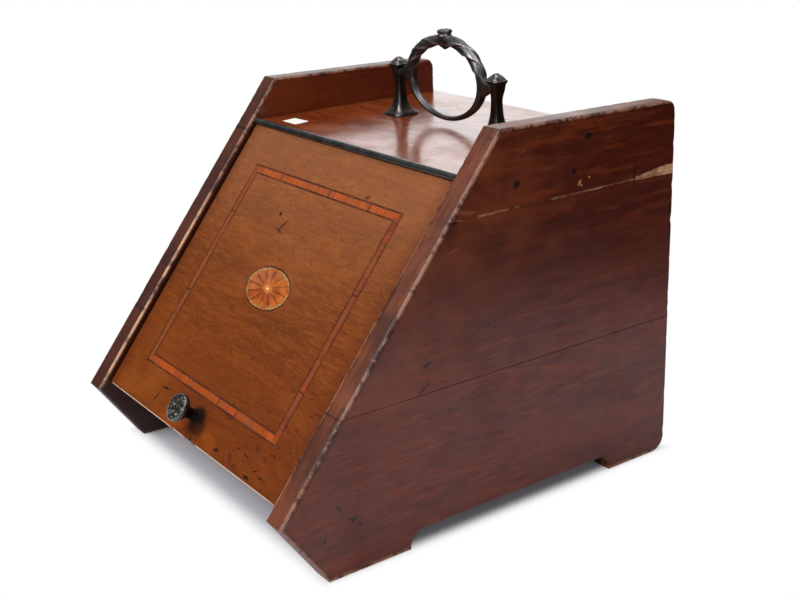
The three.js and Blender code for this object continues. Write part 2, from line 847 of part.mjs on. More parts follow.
function addHandle() {
  for (const [name, side] of [["left", -1], ["right", 1]]) {
    const x = handleShift + side * postHalfSpan;
    const post = add(`handle_post_${name}`, darkBronze, geometryOf(postSolid(side)));
    post.position.set(x, handleSetback, topHeight);

    const under = topHeight - topThick;
    const washer = new THREE.Shape();
    washer.absarc(0, 0, washerRadius, 0, 2 * Math.PI);
    const hole = new THREE.Path();
    hole.absarc(0, 0, studRadius + fit, 0, 2 * Math.PI, true);
    washer.holes.push(hole);
    add(`post_washer_${name}`, steel, slab(washer, washerThick, 0, 8)).position.set(
      x,
      handleSetback,
      under - washerThick,
    );
    const nut = rectangle(-nutHalf, -nutHalf, nutHalf, nutHalf);
    nut.holes.push(hole);
    add(`post_nut_${name}`, steel, slab(nut, nutThick, 0, 8)).position.set(
      x,
      handleSetback,
      under - washerThick - nutThick,
    );

    const inner = postHalfSpan - postEye - fit - pivotInRing;
    const outer = postHalfSpan - postEye + pivotInPost;
    add(`pivot_pin_${name}`, steel, rod(pivotRadius, outer - inner, 16)).position.set(
      handleShift + (side * (inner + outer)) / 2,
      handleSetback,
      topHeight + pivotRise,
    );
  }
  add("ring_handle", darkBronze, geometryOf(ringSolid())).position.set(
    handleShift,
    handleSetback,
    topHeight + pivotRise,
  );
}

// ---- Liner ----

const linerHalf = innerHalf - stopWidth - linerSideGap;
const linerFloor = floorRise + floorThick;
const linerFront = shifted(frontUnder, -(frontThick + linerFrontGap));
const linerSlope = slopeLine(flapInside - linerFlapGap);
const linerOutline = [
  crossing(linerFront, level(linerFloor)),
  [linerBack, linerFloor],
  [linerBack, linerTop],
  crossing(linerSlope, level(linerTop)),
  crossing(linerSlope, linerFront),
]; // edges: bottom, back, top, slope, front
const rivetPlaces = [-1, 1].map((side) => side * (gripHalf - gripFoot / 2));

// A rivet along y, or its hole, through the liner's back wall and the grip's foot.
function rivet(x, grow = 0) {
  const stack = linerWall + gripThick + fit;
  const half = stack / 2 + fit;
  const shank = rivetRadius + grow;
  const profile = grow
    ? [[0, -3 * stack], [shank, -3 * stack], [shank, 3 * stack], [0, 3 * stack]]
    : [
        [0, -half - 1.6], [rivetHead * 0.6, -half - 1.3], [rivetHead, -half], [shank, -half],
        [shank, half], [rivetHead, half], [rivetHead * 0.6, half + 1.3], [0, half + 1.6],
      ];
  return turned(profile, 12)
    .rotateX(Math.PI / 2)
    .translate(x, linerBack - stack / 2, gripHeight);
}

function addLiner() {
  const open = 20;
  const tray = solid(beam(outline(linerOutline), linerHalf));
  const cavity = solid(
    beam(
      outline(grown(linerOutline, [-linerWall, -linerWall, open, open, -linerWall])),
      linerHalf - linerWall,
    ),
  );
  const hem = solid(
    beam(outline(grown(linerOutline, [0, hemThick, 0, 0, hemThick])), linerHalf + hemThick),
  ).subtract(
    solid(
      beam(outline(grown(linerOutline, [open, open, -hemDepth, -hemDepth, open])), caseWidth),
    ),
  );
  const holes = rivetPlaces.map((x) => solid(rivet(x, fit)));
  const body = cut(join([tray, hem]), [cavity, ...holes]);
  add("liner_body", blackSheet, geometryOf(body));

  const wall = linerBack - linerWall - fit;
  const arm = gripHalf - gripFoot;
  const outer = arm - gripSplay;
  const inner = outer - gripThick;
  const strap = outline([
    [-gripHalf, wall], [-gripHalf, wall - gripThick], [-arm - gripThick, wall - gripThick],
    [-outer, wall - gripReach], [outer, wall - gripReach], [arm + gripThick, wall - gripThick],
    [gripHalf, wall - gripThick], [gripHalf, wall], [arm, wall],
    [inner, wall - gripReach + gripThick], [-inner, wall - gripReach + gripThick],
    [-arm, wall],
  ]);
  const grip = solid(slab(strap, gripBand).translate(0, 0, gripHeight - gripBand / 2));
  add("liner_grip", blackSheet, geometryOf(cut(grip, holes)));
  rivetPlaces.forEach((x, i) => add(`liner_rivet_${i ? "right" : "left"}`, steel, rivet(x)));
}

addSide("right", 1, rightSeams);
addSide("left", -1, leftSeams);
addTopBoard();
addBackBoards();
addBottom();
addFlapStops();
addFlapPanel();
addBanding();
addPatera();
addHinge();
addKnob();
addHandle();
addLiner();

export default group;
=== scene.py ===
"""Dresses a packed coal box: worn mahogany boards, an inlaid flap, a cast ring handle and a tin liner."""

import logging
import math
from dataclasses import dataclass, field
from enum import Enum
from typing import Any, Callable, Sequence, Union

import bmesh
import bpy
import numpy as np
from mathutils import Matrix, Vector


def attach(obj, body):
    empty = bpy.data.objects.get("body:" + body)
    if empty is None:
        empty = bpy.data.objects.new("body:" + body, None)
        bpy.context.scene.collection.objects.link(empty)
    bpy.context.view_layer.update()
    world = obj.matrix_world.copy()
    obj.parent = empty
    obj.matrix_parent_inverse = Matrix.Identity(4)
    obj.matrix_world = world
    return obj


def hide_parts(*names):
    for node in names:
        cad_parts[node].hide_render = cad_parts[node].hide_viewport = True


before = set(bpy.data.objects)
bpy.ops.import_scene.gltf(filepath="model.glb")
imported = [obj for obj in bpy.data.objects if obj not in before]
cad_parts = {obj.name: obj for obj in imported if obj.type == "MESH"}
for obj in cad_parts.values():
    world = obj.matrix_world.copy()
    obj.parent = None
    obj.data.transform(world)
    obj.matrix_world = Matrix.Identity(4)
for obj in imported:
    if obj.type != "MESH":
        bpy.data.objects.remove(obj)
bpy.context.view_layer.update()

LOG = logging.getLogger("coal_box")
Colour = tuple[float, float, float]
Array = np.ndarray

MM = 0.001
CASE_WIDTH = 350.0
CASE_DEPTH = 391.5
SIDE_THICK = 21.5
SIDE_HEIGHT = 316.0
TOP_FALL = 3.0
TOP_BOARD = 280.5
NOSE_HEIGHT = 57.6
FOOT_SETBACK = 39.0
RIDGE_SETBACK = 206.5
SLOPE = math.atan2(SIDE_HEIGHT - NOSE_HEIGHT, RIDGE_SETBACK)
MID = np.array([0.0, CASE_DEPTH / 2, 0.0])
EVEN = (1.0, 1.0, 1.0)
CELL_SHIFT = (0.013, 0.029, 0.007)
TOUCH_MM = 1e-5


def srgb(red: int, green: int, blue: int) -> Colour:
    """Returns a colour written as 0 to 255 screen values, as linear light."""
    channels = np.array([red, green, blue]) / 255
    low, high = channels / 12.92, ((channels + 0.055) / 1.055) ** 2.4
    return tuple(float(c) for c in np.where(channels <= 0.04045, low, high))


def toned(colour: Colour, factor: float) -> Colour:
    """Returns a colour made lighter or darker by a factor."""
    return tuple(min(1.0, c * factor) for c in colour)


def in_row(point: Sequence[float]) -> tuple[float, ...]:
    """Returns a point of the maker's frame, in mm from the nose, in metres of the shared frame."""
    return tuple(float(c) for c in (np.asarray(point, float) - MID) * MM)


# ---- Surfaces ----


@dataclass
class Surface:
    """A closed surface in mm of the maker's frame: x across, y from the nose, z up.

    `marks` holds a value for each point, by the name of the attribute that carries it.
    """

    points: Array
    faces: list[list[int]]
    marks: dict[str, Array] = field(default_factory=dict)

    def moved(self, offset: Sequence[float]) -> "Surface":
        """Returns the surface carried by an offset in mm."""
        return Surface(self.points + np.asarray(offset, float), self.faces, self.marks)

    def turned_by(self, matrix: Array) -> "Surface":
        """Returns the surface with each point multiplied by a 3 by 3 matrix."""
        return Surface(self.points @ np.asarray(matrix, float).T, self.faces, self.marks)

    def joined(self, other: "Surface") -> "Surface":
        """Returns both surfaces as one, with the second's points numbered after the first's."""
        shift = len(self.points)
        faces = self.faces + [[i + shift for i in face] for face in other.faces]
        marks = {k: np.concatenate([self.marks[k], other.marks[k]]) for k in self.marks if k in other.marks}
        return Surface(np.vstack([self.points, other.points]), faces, marks)


def lattice(rows: int, columns: int, wrap_rows: bool, wrap_columns: bool) -> list[list[int]]:
    """Returns the quads of a grid of points numbered row by row.

    Args:
        rows: Number of rows of points.
        columns: Number of points in a row.
        wrap_rows: Whether the last row joins the first.
        wrap_columns: Whether the last point of a row joins its first.
    """
    down, along = np.meshgrid(
        np.arange(rows - (not wrap_rows)), np.arange(columns - (not wrap_columns)), indexing="ij"
    )
    below, beside = (down + 1) % rows, (along + 1) % columns
    corners = ((down, along), (below, along), (below, beside), (down, beside))
    return np.stack([row * columns + column for row, column in corners], -1).reshape(-1, 4).tolist()


def eased(rows: Sequence[Sequence[float]], steps: int) -> Array:
    """Returns a smooth line through rows of numbers; each span is a cubic that leans as its neighbours do."""
    knots = np.asarray(rows, float)
    padded = np.vstack([2 * knots[0] - knots[1], knots, 2 * knots[-1] - knots[-2]])
    spans = len(knots) - 1
    a, b, c, d = (padded[i : spans + i, None, :] for i in range(4))
    t = np.linspace(0, 1, steps, endpoint=False)[None, :, None]
    line = 0.5 * (2 * b + (c - a) * t + (2 * a - 5 * b + 4 * c - d) * t**2 + (3 * b - a - 3 * c + d) * t**3)
    return np.vstack([line.reshape(-1, knots.shape[1]), knots[-1:]])


def lathe(profile: Array, segments: int, swell: Callable[[Array, Array], Array] | None = None) -> Surface:
    """Returns a turned surface about z: radius and height of each profile row, carried round the axis.

    Args:
        profile: Rows of radius and height, from pole to pole.
        segments: Points in one turn.
        swell: Factor on the radius, from the angle and the row's number, both as grids.
    """
    angle, row = np.meshgrid(
        np.linspace(0, 2 * np.pi, segments, endpoint=False), np.arange(len(profile)), indexing="xy"
    )
    radius = np.maximum(profile[:, :1], 0) * (swell(angle, row) if swell else np.ones_like(angle))
    height = np.broadcast_to(profile[:, 1:2], radius.shape)
    points = np.stack([radius * np.cos(angle), radius * np.sin(angle), height], -1).reshape(-1, 3)
    return Surface(points, lattice(len(profile), segments, False, True))


def bell(value: Array, centre: float, width: float) -> Array:
    """Returns the bell curve exp(-((value - centre) / width) ** 2)."""
    return np.exp(-(((value - centre) / width) ** 2))


def smoothstep(value: Array, low: float, high: float) -> Array:
    """Returns 0 below low, 1 above high, and the cubic 3t^2 - 2t^3 between them."""
    t = np.clip((value - low) / (high - low), 0, 1)
    return t * t * (3 - 2 * t)


def make_piece(
    name: str,
    surface: Surface,
    material: bpy.types.Material,
    body: str,
    stands_for: Sequence[str] = (),
    crease_deg: float = 50.0,
) -> bpy.types.Object:
    """Puts a surface into a mesh, closes its poles, turns its faces outward, and fixes it to its body.

    Args:
        name: The piece's name.
        surface: What is built.
        material: Its finish.
        body: The body it moves with.
        stands_for: CAD nodes that it replaces.
        crease_deg: Edges sharper than this stay sharp in the shading.

    Returns:
        The piece.
    """
    mesh = bpy.data.meshes.new(name)
    mesh.from_pydata(((surface.points - MID) * MM).tolist(), [], surface.faces)
    for mark, values in surface.marks.items():
        mesh.attributes.new(mark, "FLOAT", "POINT").data.foreach_set("value", values.astype(np.float32))
    work = bmesh.new()
    work.from_mesh(mesh)
    bmesh.ops.remove_doubles(work, verts=work.verts, dist=1e-7)
    bmesh.ops.recalc_face_normals(work, faces=work.faces)
    work.to_mesh(mesh)
    work.free()
    mesh.shade_smooth()
    mesh.set_sharp_from_angle(angle=math.radians(crease_deg))
    mesh.materials.append(material)
    piece = bpy.data.objects.new(name, mesh)
    bpy.context.scene.collection.objects.link(piece)
    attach(piece, body)
    if stands_for:
        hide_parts(*stands_for)
    return piece


def dress(material: bpy.types.Material, *nodes: str) -> int:
    """Gives CAD nodes that stay in view their finish; returns how many they are."""
    for node in nodes:
        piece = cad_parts[node]
        if not piece.material_slots:
            piece.data.materials.append(material)
        for slot in piece.material_slots:
            slot.material = material
    return len(nodes)


# ---- Shader graphs ----

Value = Union[float, "Wire"]


class Wire:
    """One node's output in an expression; each operator adds a Math node that takes it."""

    def __init__(self, graph: "Graph", socket: bpy.types.NodeSocket) -> None:
        """Wraps a socket of a graph."""
        self.graph = graph
        self.socket = socket

    def __add__(self, other: Value) -> "Wire":
        """Returns the sum."""
        return self.graph.math("ADD", self, other)

    __radd__ = __add__

    def __sub__(self, other: Value) -> "Wire":
        """Returns the difference."""
        return self.graph.math("SUBTRACT", self, other)

    def __rsub__(self, other: Value) -> "Wire":
        """Returns the difference, with this value taken away."""
        return self.graph.math("SUBTRACT", other, self)

    def __mul__(self, other: Value) -> "Wire":
        """Returns the product."""
        return self.graph.math("MULTIPLY", self, other)

    __rmul__ = __mul__

    def __truediv__(self, other: Value) -> "Wire":
        """Returns the quotient."""
        return self.graph.math("DIVIDE", self, other)

    def __pow__(self, other: Value) -> "Wire":
        """Returns the power."""
        return self.graph.math("POWER", self, other)

    def size(self) -> "Wire":
        """Returns the value without its sign."""
        return self.graph.math("ABSOLUTE", self)

    def clipped(self) -> "Wire":
        """Returns the value held between 0 and 1."""
        return self.graph.greatest(self.graph.least(self, 1.0), 0.0)


class Graph:
    """The nodes of one material or world, and the patterns that more than one finish draws."""

    def __init__(self, name: str, kind: str = "materials") -> None:
        """Makes an empty material, or a world, of that name."""
        self.owner = getattr(bpy.data, kind).new(name)
        self.owner.use_nodes = True
        self.tree = self.owner.node_tree
        self.tree.nodes.clear()

    def node(
        self, kind: str, settings: dict[str, Any] | None = None, inputs: dict[Any, Any] | None = None
    ) -> bpy.types.Node:
        """Adds one node.

        Args:
            kind: The node's type, without its ShaderNode prefix.
            settings: Its own settings.
            inputs: Numbers, colours or wires, by socket name or number.

        Returns:
            The node.
        """
        made = self.tree.nodes.new("ShaderNode" + kind)
        for key, value in (settings or {}).items():
            setattr(made, key, value)
        for key, value in (inputs or {}).items():
            if isinstance(value, Wire):
                self.tree.links.new(value.socket, made.inputs[key])
            else:
                socket = made.inputs[key]
                wide = socket.type == "RGBA" and len(value) == 3
                socket.default_value = (*value, 1.0) if wide else value
        return made

    def out(self, node: bpy.types.Node, output: Any = 0) -> Wire:
        """Returns a node's output as a wire."""
        return Wire(self, node.outputs[output])

    def math(self, operation: str, *values: Value) -> Wire:
        """Returns the result of one Math node."""
        return self.out(self.node("Math", {"operation": operation}, dict(enumerate(values))))

    def least(self, first: Value, *others: Value) -> Wire:
        """Returns the least of the values."""
        return self.math("MINIMUM", first, others[0] if len(others) == 1 else self.least(*others))

    def greatest(self, first: Value, second: Value) -> Wire:
        """Returns the greater value."""
        return self.math("MAXIMUM", first, second)

    def mix(self, factor: Value, first: Any, second: Any) -> Wire:
        """Returns a mix of two colours, by a factor from 0 to 1."""
        settings = {"data_type": "RGBA", "clamp_factor": True}
        return self.out(self.node("Mix", settings, {0: factor, 6: first, 7: second}), 2)

    def layered(self, base: Any, *layers: tuple[Value, Any]) -> Wire:
        """Returns a colour under layers, each a factor from 0 to 1 and a colour laid over the ones before."""
        for factor, colour in layers:
            base = self.mix(factor, base, colour)
        return base

    def step(self, value: Wire, low: float, high: float) -> Wire:
        """Returns 0 at low and 1 at high, smoothly; low may be the greater."""
        inputs = {"Value": value, "From Min": low, "From Max": high}
        return self.out(self.node("MapRange", {"interpolation_type": "SMOOTHSTEP"}, inputs))

    def placed(
        self,
        vector: Wire,
        origin: Sequence[float],
        turn: Sequence[float] = (0, 0, 0),
        unit: Sequence[float] = (1, 1, 1),
    ) -> Wire:
        """Returns coordinates measured from an origin, along turned axes, in a unit for each axis."""
        inputs = {"Vector": vector, "Location": tuple(origin), "Rotation": tuple(turn), "Scale": tuple(unit)}
        return self.out(self.node("Mapping", {"vector_type": "TEXTURE"}, inputs))

    def own(self) -> Wire:
        """Returns the piece's own coordinates, in metres."""
        return self.out(self.node("TexCoord"), "Object")

    def on_slope(self) -> Wire:
        """Returns coordinates across, along and out of the slope."""
        return self.placed(self.own(), in_row((0, 0, NOSE_HEIGHT)), (SLOPE, 0, 0))

    def times(self, vector: Wire, scale: Sequence[float], offset: Any = (0.0, 0.0, 0.0)) -> Wire:
        """Returns coordinates multiplied axis by axis, then moved."""
        inputs = {0: vector, 1: scale, 2: offset}
        return self.out(self.node("VectorMath", {"operation": "MULTIPLY_ADD"}, inputs))

    def noise(
        self, vector: Wire, scale: float, detail: float = 3.0, rough: float = 0.55, twist: float = 0.0
    ) -> Wire:
        """Returns soft random values about a half."""
        inputs = {"Vector": vector, "Scale": scale, "Detail": detail, "Roughness": rough, "Distortion": twist}
        return self.out(self.node("TexNoise", None, inputs))

    def bent(self, vector: Wire, scale: float, reach_mm: float) -> Wire:
        """Returns coordinates pushed about at random, so that what is drawn on them is ragged."""
        push = self.node("TexNoise", None, {"Vector": vector, "Scale": scale, "Detail": 2.0})
        return self.times(self.out(push, "Color"), (reach_mm * 2 * MM,) * 3, vector)

    def parts(self, vector: Wire) -> tuple[Wire, Wire, Wire]:
        """Returns a vector's x, y and z."""
        node = self.node("SeparateXYZ", None, {0: vector})
        return self.out(node, 0), self.out(node, 1), self.out(node, 2)

    def mark(self, name: str) -> Wire:
        """Returns the value that a piece carries on its points under that name."""
        return self.out(self.node("Attribute", {"attribute_name": name}), "Fac")

    def oval(
        self, vector: Wire, centre: Sequence[float], half: Sequence[float], turn: Sequence[float]
    ) -> Wire:
        """Returns 1 inside an oval and 0 from its edge out; sizes in metres."""
        local = self.placed(vector, centre, turn, half)
        length = self.out(self.node("VectorMath", {"operation": "LENGTH"}, {0: local}), "Value")
        return self.step(length, 1.0, 0.45)

    def strokes(self, vector: Wire, plane: "Plane", *rows: Sequence[float]) -> Wire:
        """Returns scattered thin strokes in a board's face, added up.

        Space is divided into long cells, of which a random share shows. A stroke is the part of its cell
        that is nearest its centre, and each is as wide as its luck.

        Args:
            vector: Coordinates in metres.
            plane: How the board lies.
            *rows: Turn in degrees, a cell's length and thickness in mm, and the share of cells that shows.
        """
        made = []
        for turn_deg, long_mm, thin_mm, share in rows:
            turn, cell = plane.turn(turn_deg), plane.cell(long_mm, thin_mm)
            local = self.placed(vector, CELL_SHIFT, turn, cell)
            node = self.node("TexVoronoi", None, {"Vector": local, "Scale": 1.0})
            luck = self.node("SeparateColor", None, {0: self.out(node, "Color")})
            near = self.step(self.out(node, "Distance") / (self.out(luck, 1) * 0.3 + 0.12), 1.0, 0.35)
            made.append(near * self.math("LESS_THAN", self.out(luck, 0), share))
        return sum(made[1:], made[0])

    def surface(self, bump: Wire, bump_mm: float, **sockets: Any) -> bpy.types.Material:
        """Ends the graph in one surface.

        Args:
            bump: Height from 0 to 1.
            bump_mm: The height that 1 stands for.
            **sockets: Values or wires, by socket name with underscores for spaces.

        Returns:
            The material.
        """
        inputs = {key.replace("_", " "): value for key, value in sockets.items()}
        relief = {"Strength": 1.0, "Distance": bump_mm * MM, "Height": bump}
        inputs["Normal"] = self.out(self.node("Bump", None, relief))
        shader = self.node("BsdfPrincipled", None, inputs)
        self.node("OutputMaterial", None, {"Surface": self.out(shader)})
        return self.owner


# ---- Finishes ----


class Plane(Enum):
    """Which way a board lies: the axis of its grain, and the axis square to its face."""

    TOP = (0, 2)
    SIDE = (1, 0)
    BACK = (0, 1)

    def stretch(self, ratio: float) -> Colour:
        """Returns the stretch of a pattern that runs with the grain."""
        return tuple(1.0 if axis == self.value[0] else ratio for axis in range(3))

    def cell(self, long_mm: float, thin_mm: float) -> Colour:
        """Returns the size, in metres, of a stroke's cell that lies in the face."""
        sizes = [thin_mm * MM] * 3
        sizes[self.value[0]] = long_mm * MM
        sizes[self.value[1]] = 12 * MM
        return tuple(sizes)

    def turn(self, degrees: float) -> Colour:
        """Returns a turn within the face."""
        return tuple(math.radians(degrees) if axis == self.value[1] else 0.0 for axis in range(3))


class Shade(Enum):
    """What a blemish is filled with, as a colour and how much of it shows."""

    DARK = (srgb(20, 9, 5), 0.9)
    PALE = (srgb(178, 116, 66), 0.75)
    TAN = (srgb(140, 78, 42), 0.4)
    # Dark stains; on the flap, the oval round the knob's foot is painted shadow.
    SOOT_AND_SHADOW = (srgb(18, 12, 10), 0.6)
    # Painted shadow round the flap knob's foot.
    PAINTED_SHADOW = (srgb(22, 17, 16), 0.74)
    AMBER = (srgb(150, 72, 8), 0.3)


@dataclass(frozen=True)
class Blemish:
    """An oval stain, nail mark, chip or painted shadow: its place in the board's face and its half sizes, in
    mm.
    """

    first: float
    second: float
    long: float
    thin: float
    turn_deg: float = 0.0
    shade: Shade = Shade.DARK


def blemished(*rows: Sequence[Any]) -> tuple[Blemish, ...]:
    """Returns a blemish for each row of its values."""
    return tuple(Blemish(*row) for row in rows)


@dataclass
class Look:
    """A board while it is drawn: its colour, its height from 0 to 1, and how dull its polish is."""

    colour: Wire
    height: Wire
    dull: Wire


@dataclass(frozen=True)
class Mahogany:
    """Old polished mahogany: broad figure, fine flecks, clouded polish, strokes and blemishes."""

    name: str
    dark: Colour
    middle: Colour
    light: Colour
    plane: Plane
    face_mm: float
    seed: float
    roughness: float = 0.32
    coat: float = 0.2
    coat_roughness: float = 0.14
    ripple_mm: float = 0.25
    worn: float = 0.5
    specular: float = 0.5
    coarse: float = 1.0
    bend_mm: float = 2.2
    relief_mm: float = 0.1
    blemishes: tuple[Blemish, ...] = ()

    def coordinates(self, graph: Graph) -> Wire:
        """Returns the coordinates that the board is drawn in."""
        return graph.own()

    def origin(self, point: Sequence[float]) -> tuple[float, ...]:
        """Returns a point in mm in the coordinates that the board is drawn in."""
        return in_row(point)

    def place(self, spot: Blemish) -> list[float]:
        """Returns a blemish's centre in the bent coordinates, which lie further by the bend."""
        point = [spot.first, spot.second]
        point.insert(self.plane.value[1], self.face_mm)
        return [c + self.bend_mm * MM for c in self.origin(point)]

    def timber(self, graph: Graph, vector: Wire) -> tuple[Wire, Wire]:
        """Draws the polished wood.

        Returns:
            Its colour, and its height from 0 to 1.
        """
        moved = graph.times(vector, EVEN, (self.seed, self.seed * 0.7, self.seed * 0.4))
        broad = graph.times(moved, self.plane.stretch(6.0))
        figure = graph.noise(broad, 5.0, 4.0, 0.6, 0.4)
        ribbons = graph.noise(broad, 30.0, 3.0, 0.6, 0.2)
        grain = graph.noise(graph.times(moved, self.plane.stretch(13.0)), 46.0, 5.0, 0.72)
        pores = graph.noise(graph.times(moved, self.plane.stretch(9.0)), 105.0, 2.0, 0.6)
        cloud = graph.noise(moved, 13.0, 4.0, 0.6)
        colour = graph.layered(
            self.dark,
            (graph.step(figure * 0.6 + ribbons * 0.4, 0.36, 0.62), self.middle),
            (graph.step(ribbons, 0.5, 0.74) * 0.3, self.light),
            (graph.step(grain, 0.5, 0.32) * 0.45, toned(self.dark, 0.5)),
            (graph.step(grain, 0.52, 0.7) * 0.45, toned(self.light, 1.25)),
            (graph.step(pores, 0.56, 0.66) * (0.4 * self.coarse), toned(self.dark, 0.45)),
            (graph.step(pores, 0.44, 0.34) * (0.25 * self.coarse), toned(self.light, 1.4)),
            (graph.step(cloud, 0.5, 0.74) * 0.2, toned(self.dark, 0.7)),
        )
        return colour, grain * 0.3 - pores * 0.2 + 0.5

    def extras(self, graph: Graph, vector: Wire, look: Look) -> None:
        """Adds what only one kind of board has; a plain one has nothing more."""

    def material(self) -> bpy.types.Material:
        """Builds the finish."""
        graph = Graph(self.name)
        vector = self.coordinates(graph)
        colour, height = self.timber(graph, vector)
        ragged = graph.bent(vector, 55.0, self.bend_mm)
        knocks = (20 + self.seed, 13, 3.2, 0.05 * self.worn)
        lines = (-38, 26, 1.5, 0.045 * self.worn)
        ticks = (64, 9, 1.4, 0.06 * self.worn)
        harm = graph.strokes(ragged, self.plane, knocks, lines) + graph.strokes(vector, self.plane, ticks)
        harm = harm.clipped()
        look = Look(colour, height - harm * 0.5, harm)
        self.extras(graph, vector, look)
        look.colour = graph.mix(harm * 0.6, look.colour, toned(self.dark, 0.3))
        for spot in self.blemishes:
            half, turn = self.plane.cell(spot.long, spot.thin), self.plane.turn(spot.turn_deg)
            here = graph.oval(ragged, self.place(spot), half, turn)
            filling, share = spot.shade.value
            look.colour = graph.mix(here * share, look.colour, filling)
            look.height = look.height - here * 0.3
        smear = graph.noise(graph.times(vector, (1.0, 1.6, 1.0), (self.seed, 0.0, 0.0)), 22.0, 6.0, 0.68)
        ripple = graph.noise(vector, 26.0, 2.6, 0.38) * (self.ripple_mm / self.relief_mm)
        return graph.surface(
            look.height + ripple,
            self.relief_mm,
            Base_Color=look.colour,
            Roughness=(smear * 0.3 + (self.roughness - 0.15) + look.dull * 0.08).clipped(),
            Coat_Weight=(graph.step(smear, 0.68, 0.42) * (1.0 - look.dull) * self.coat).clipped(),
            Coat_Roughness=self.coat_roughness,
            Specular_IOR_Level=self.specular,
        )


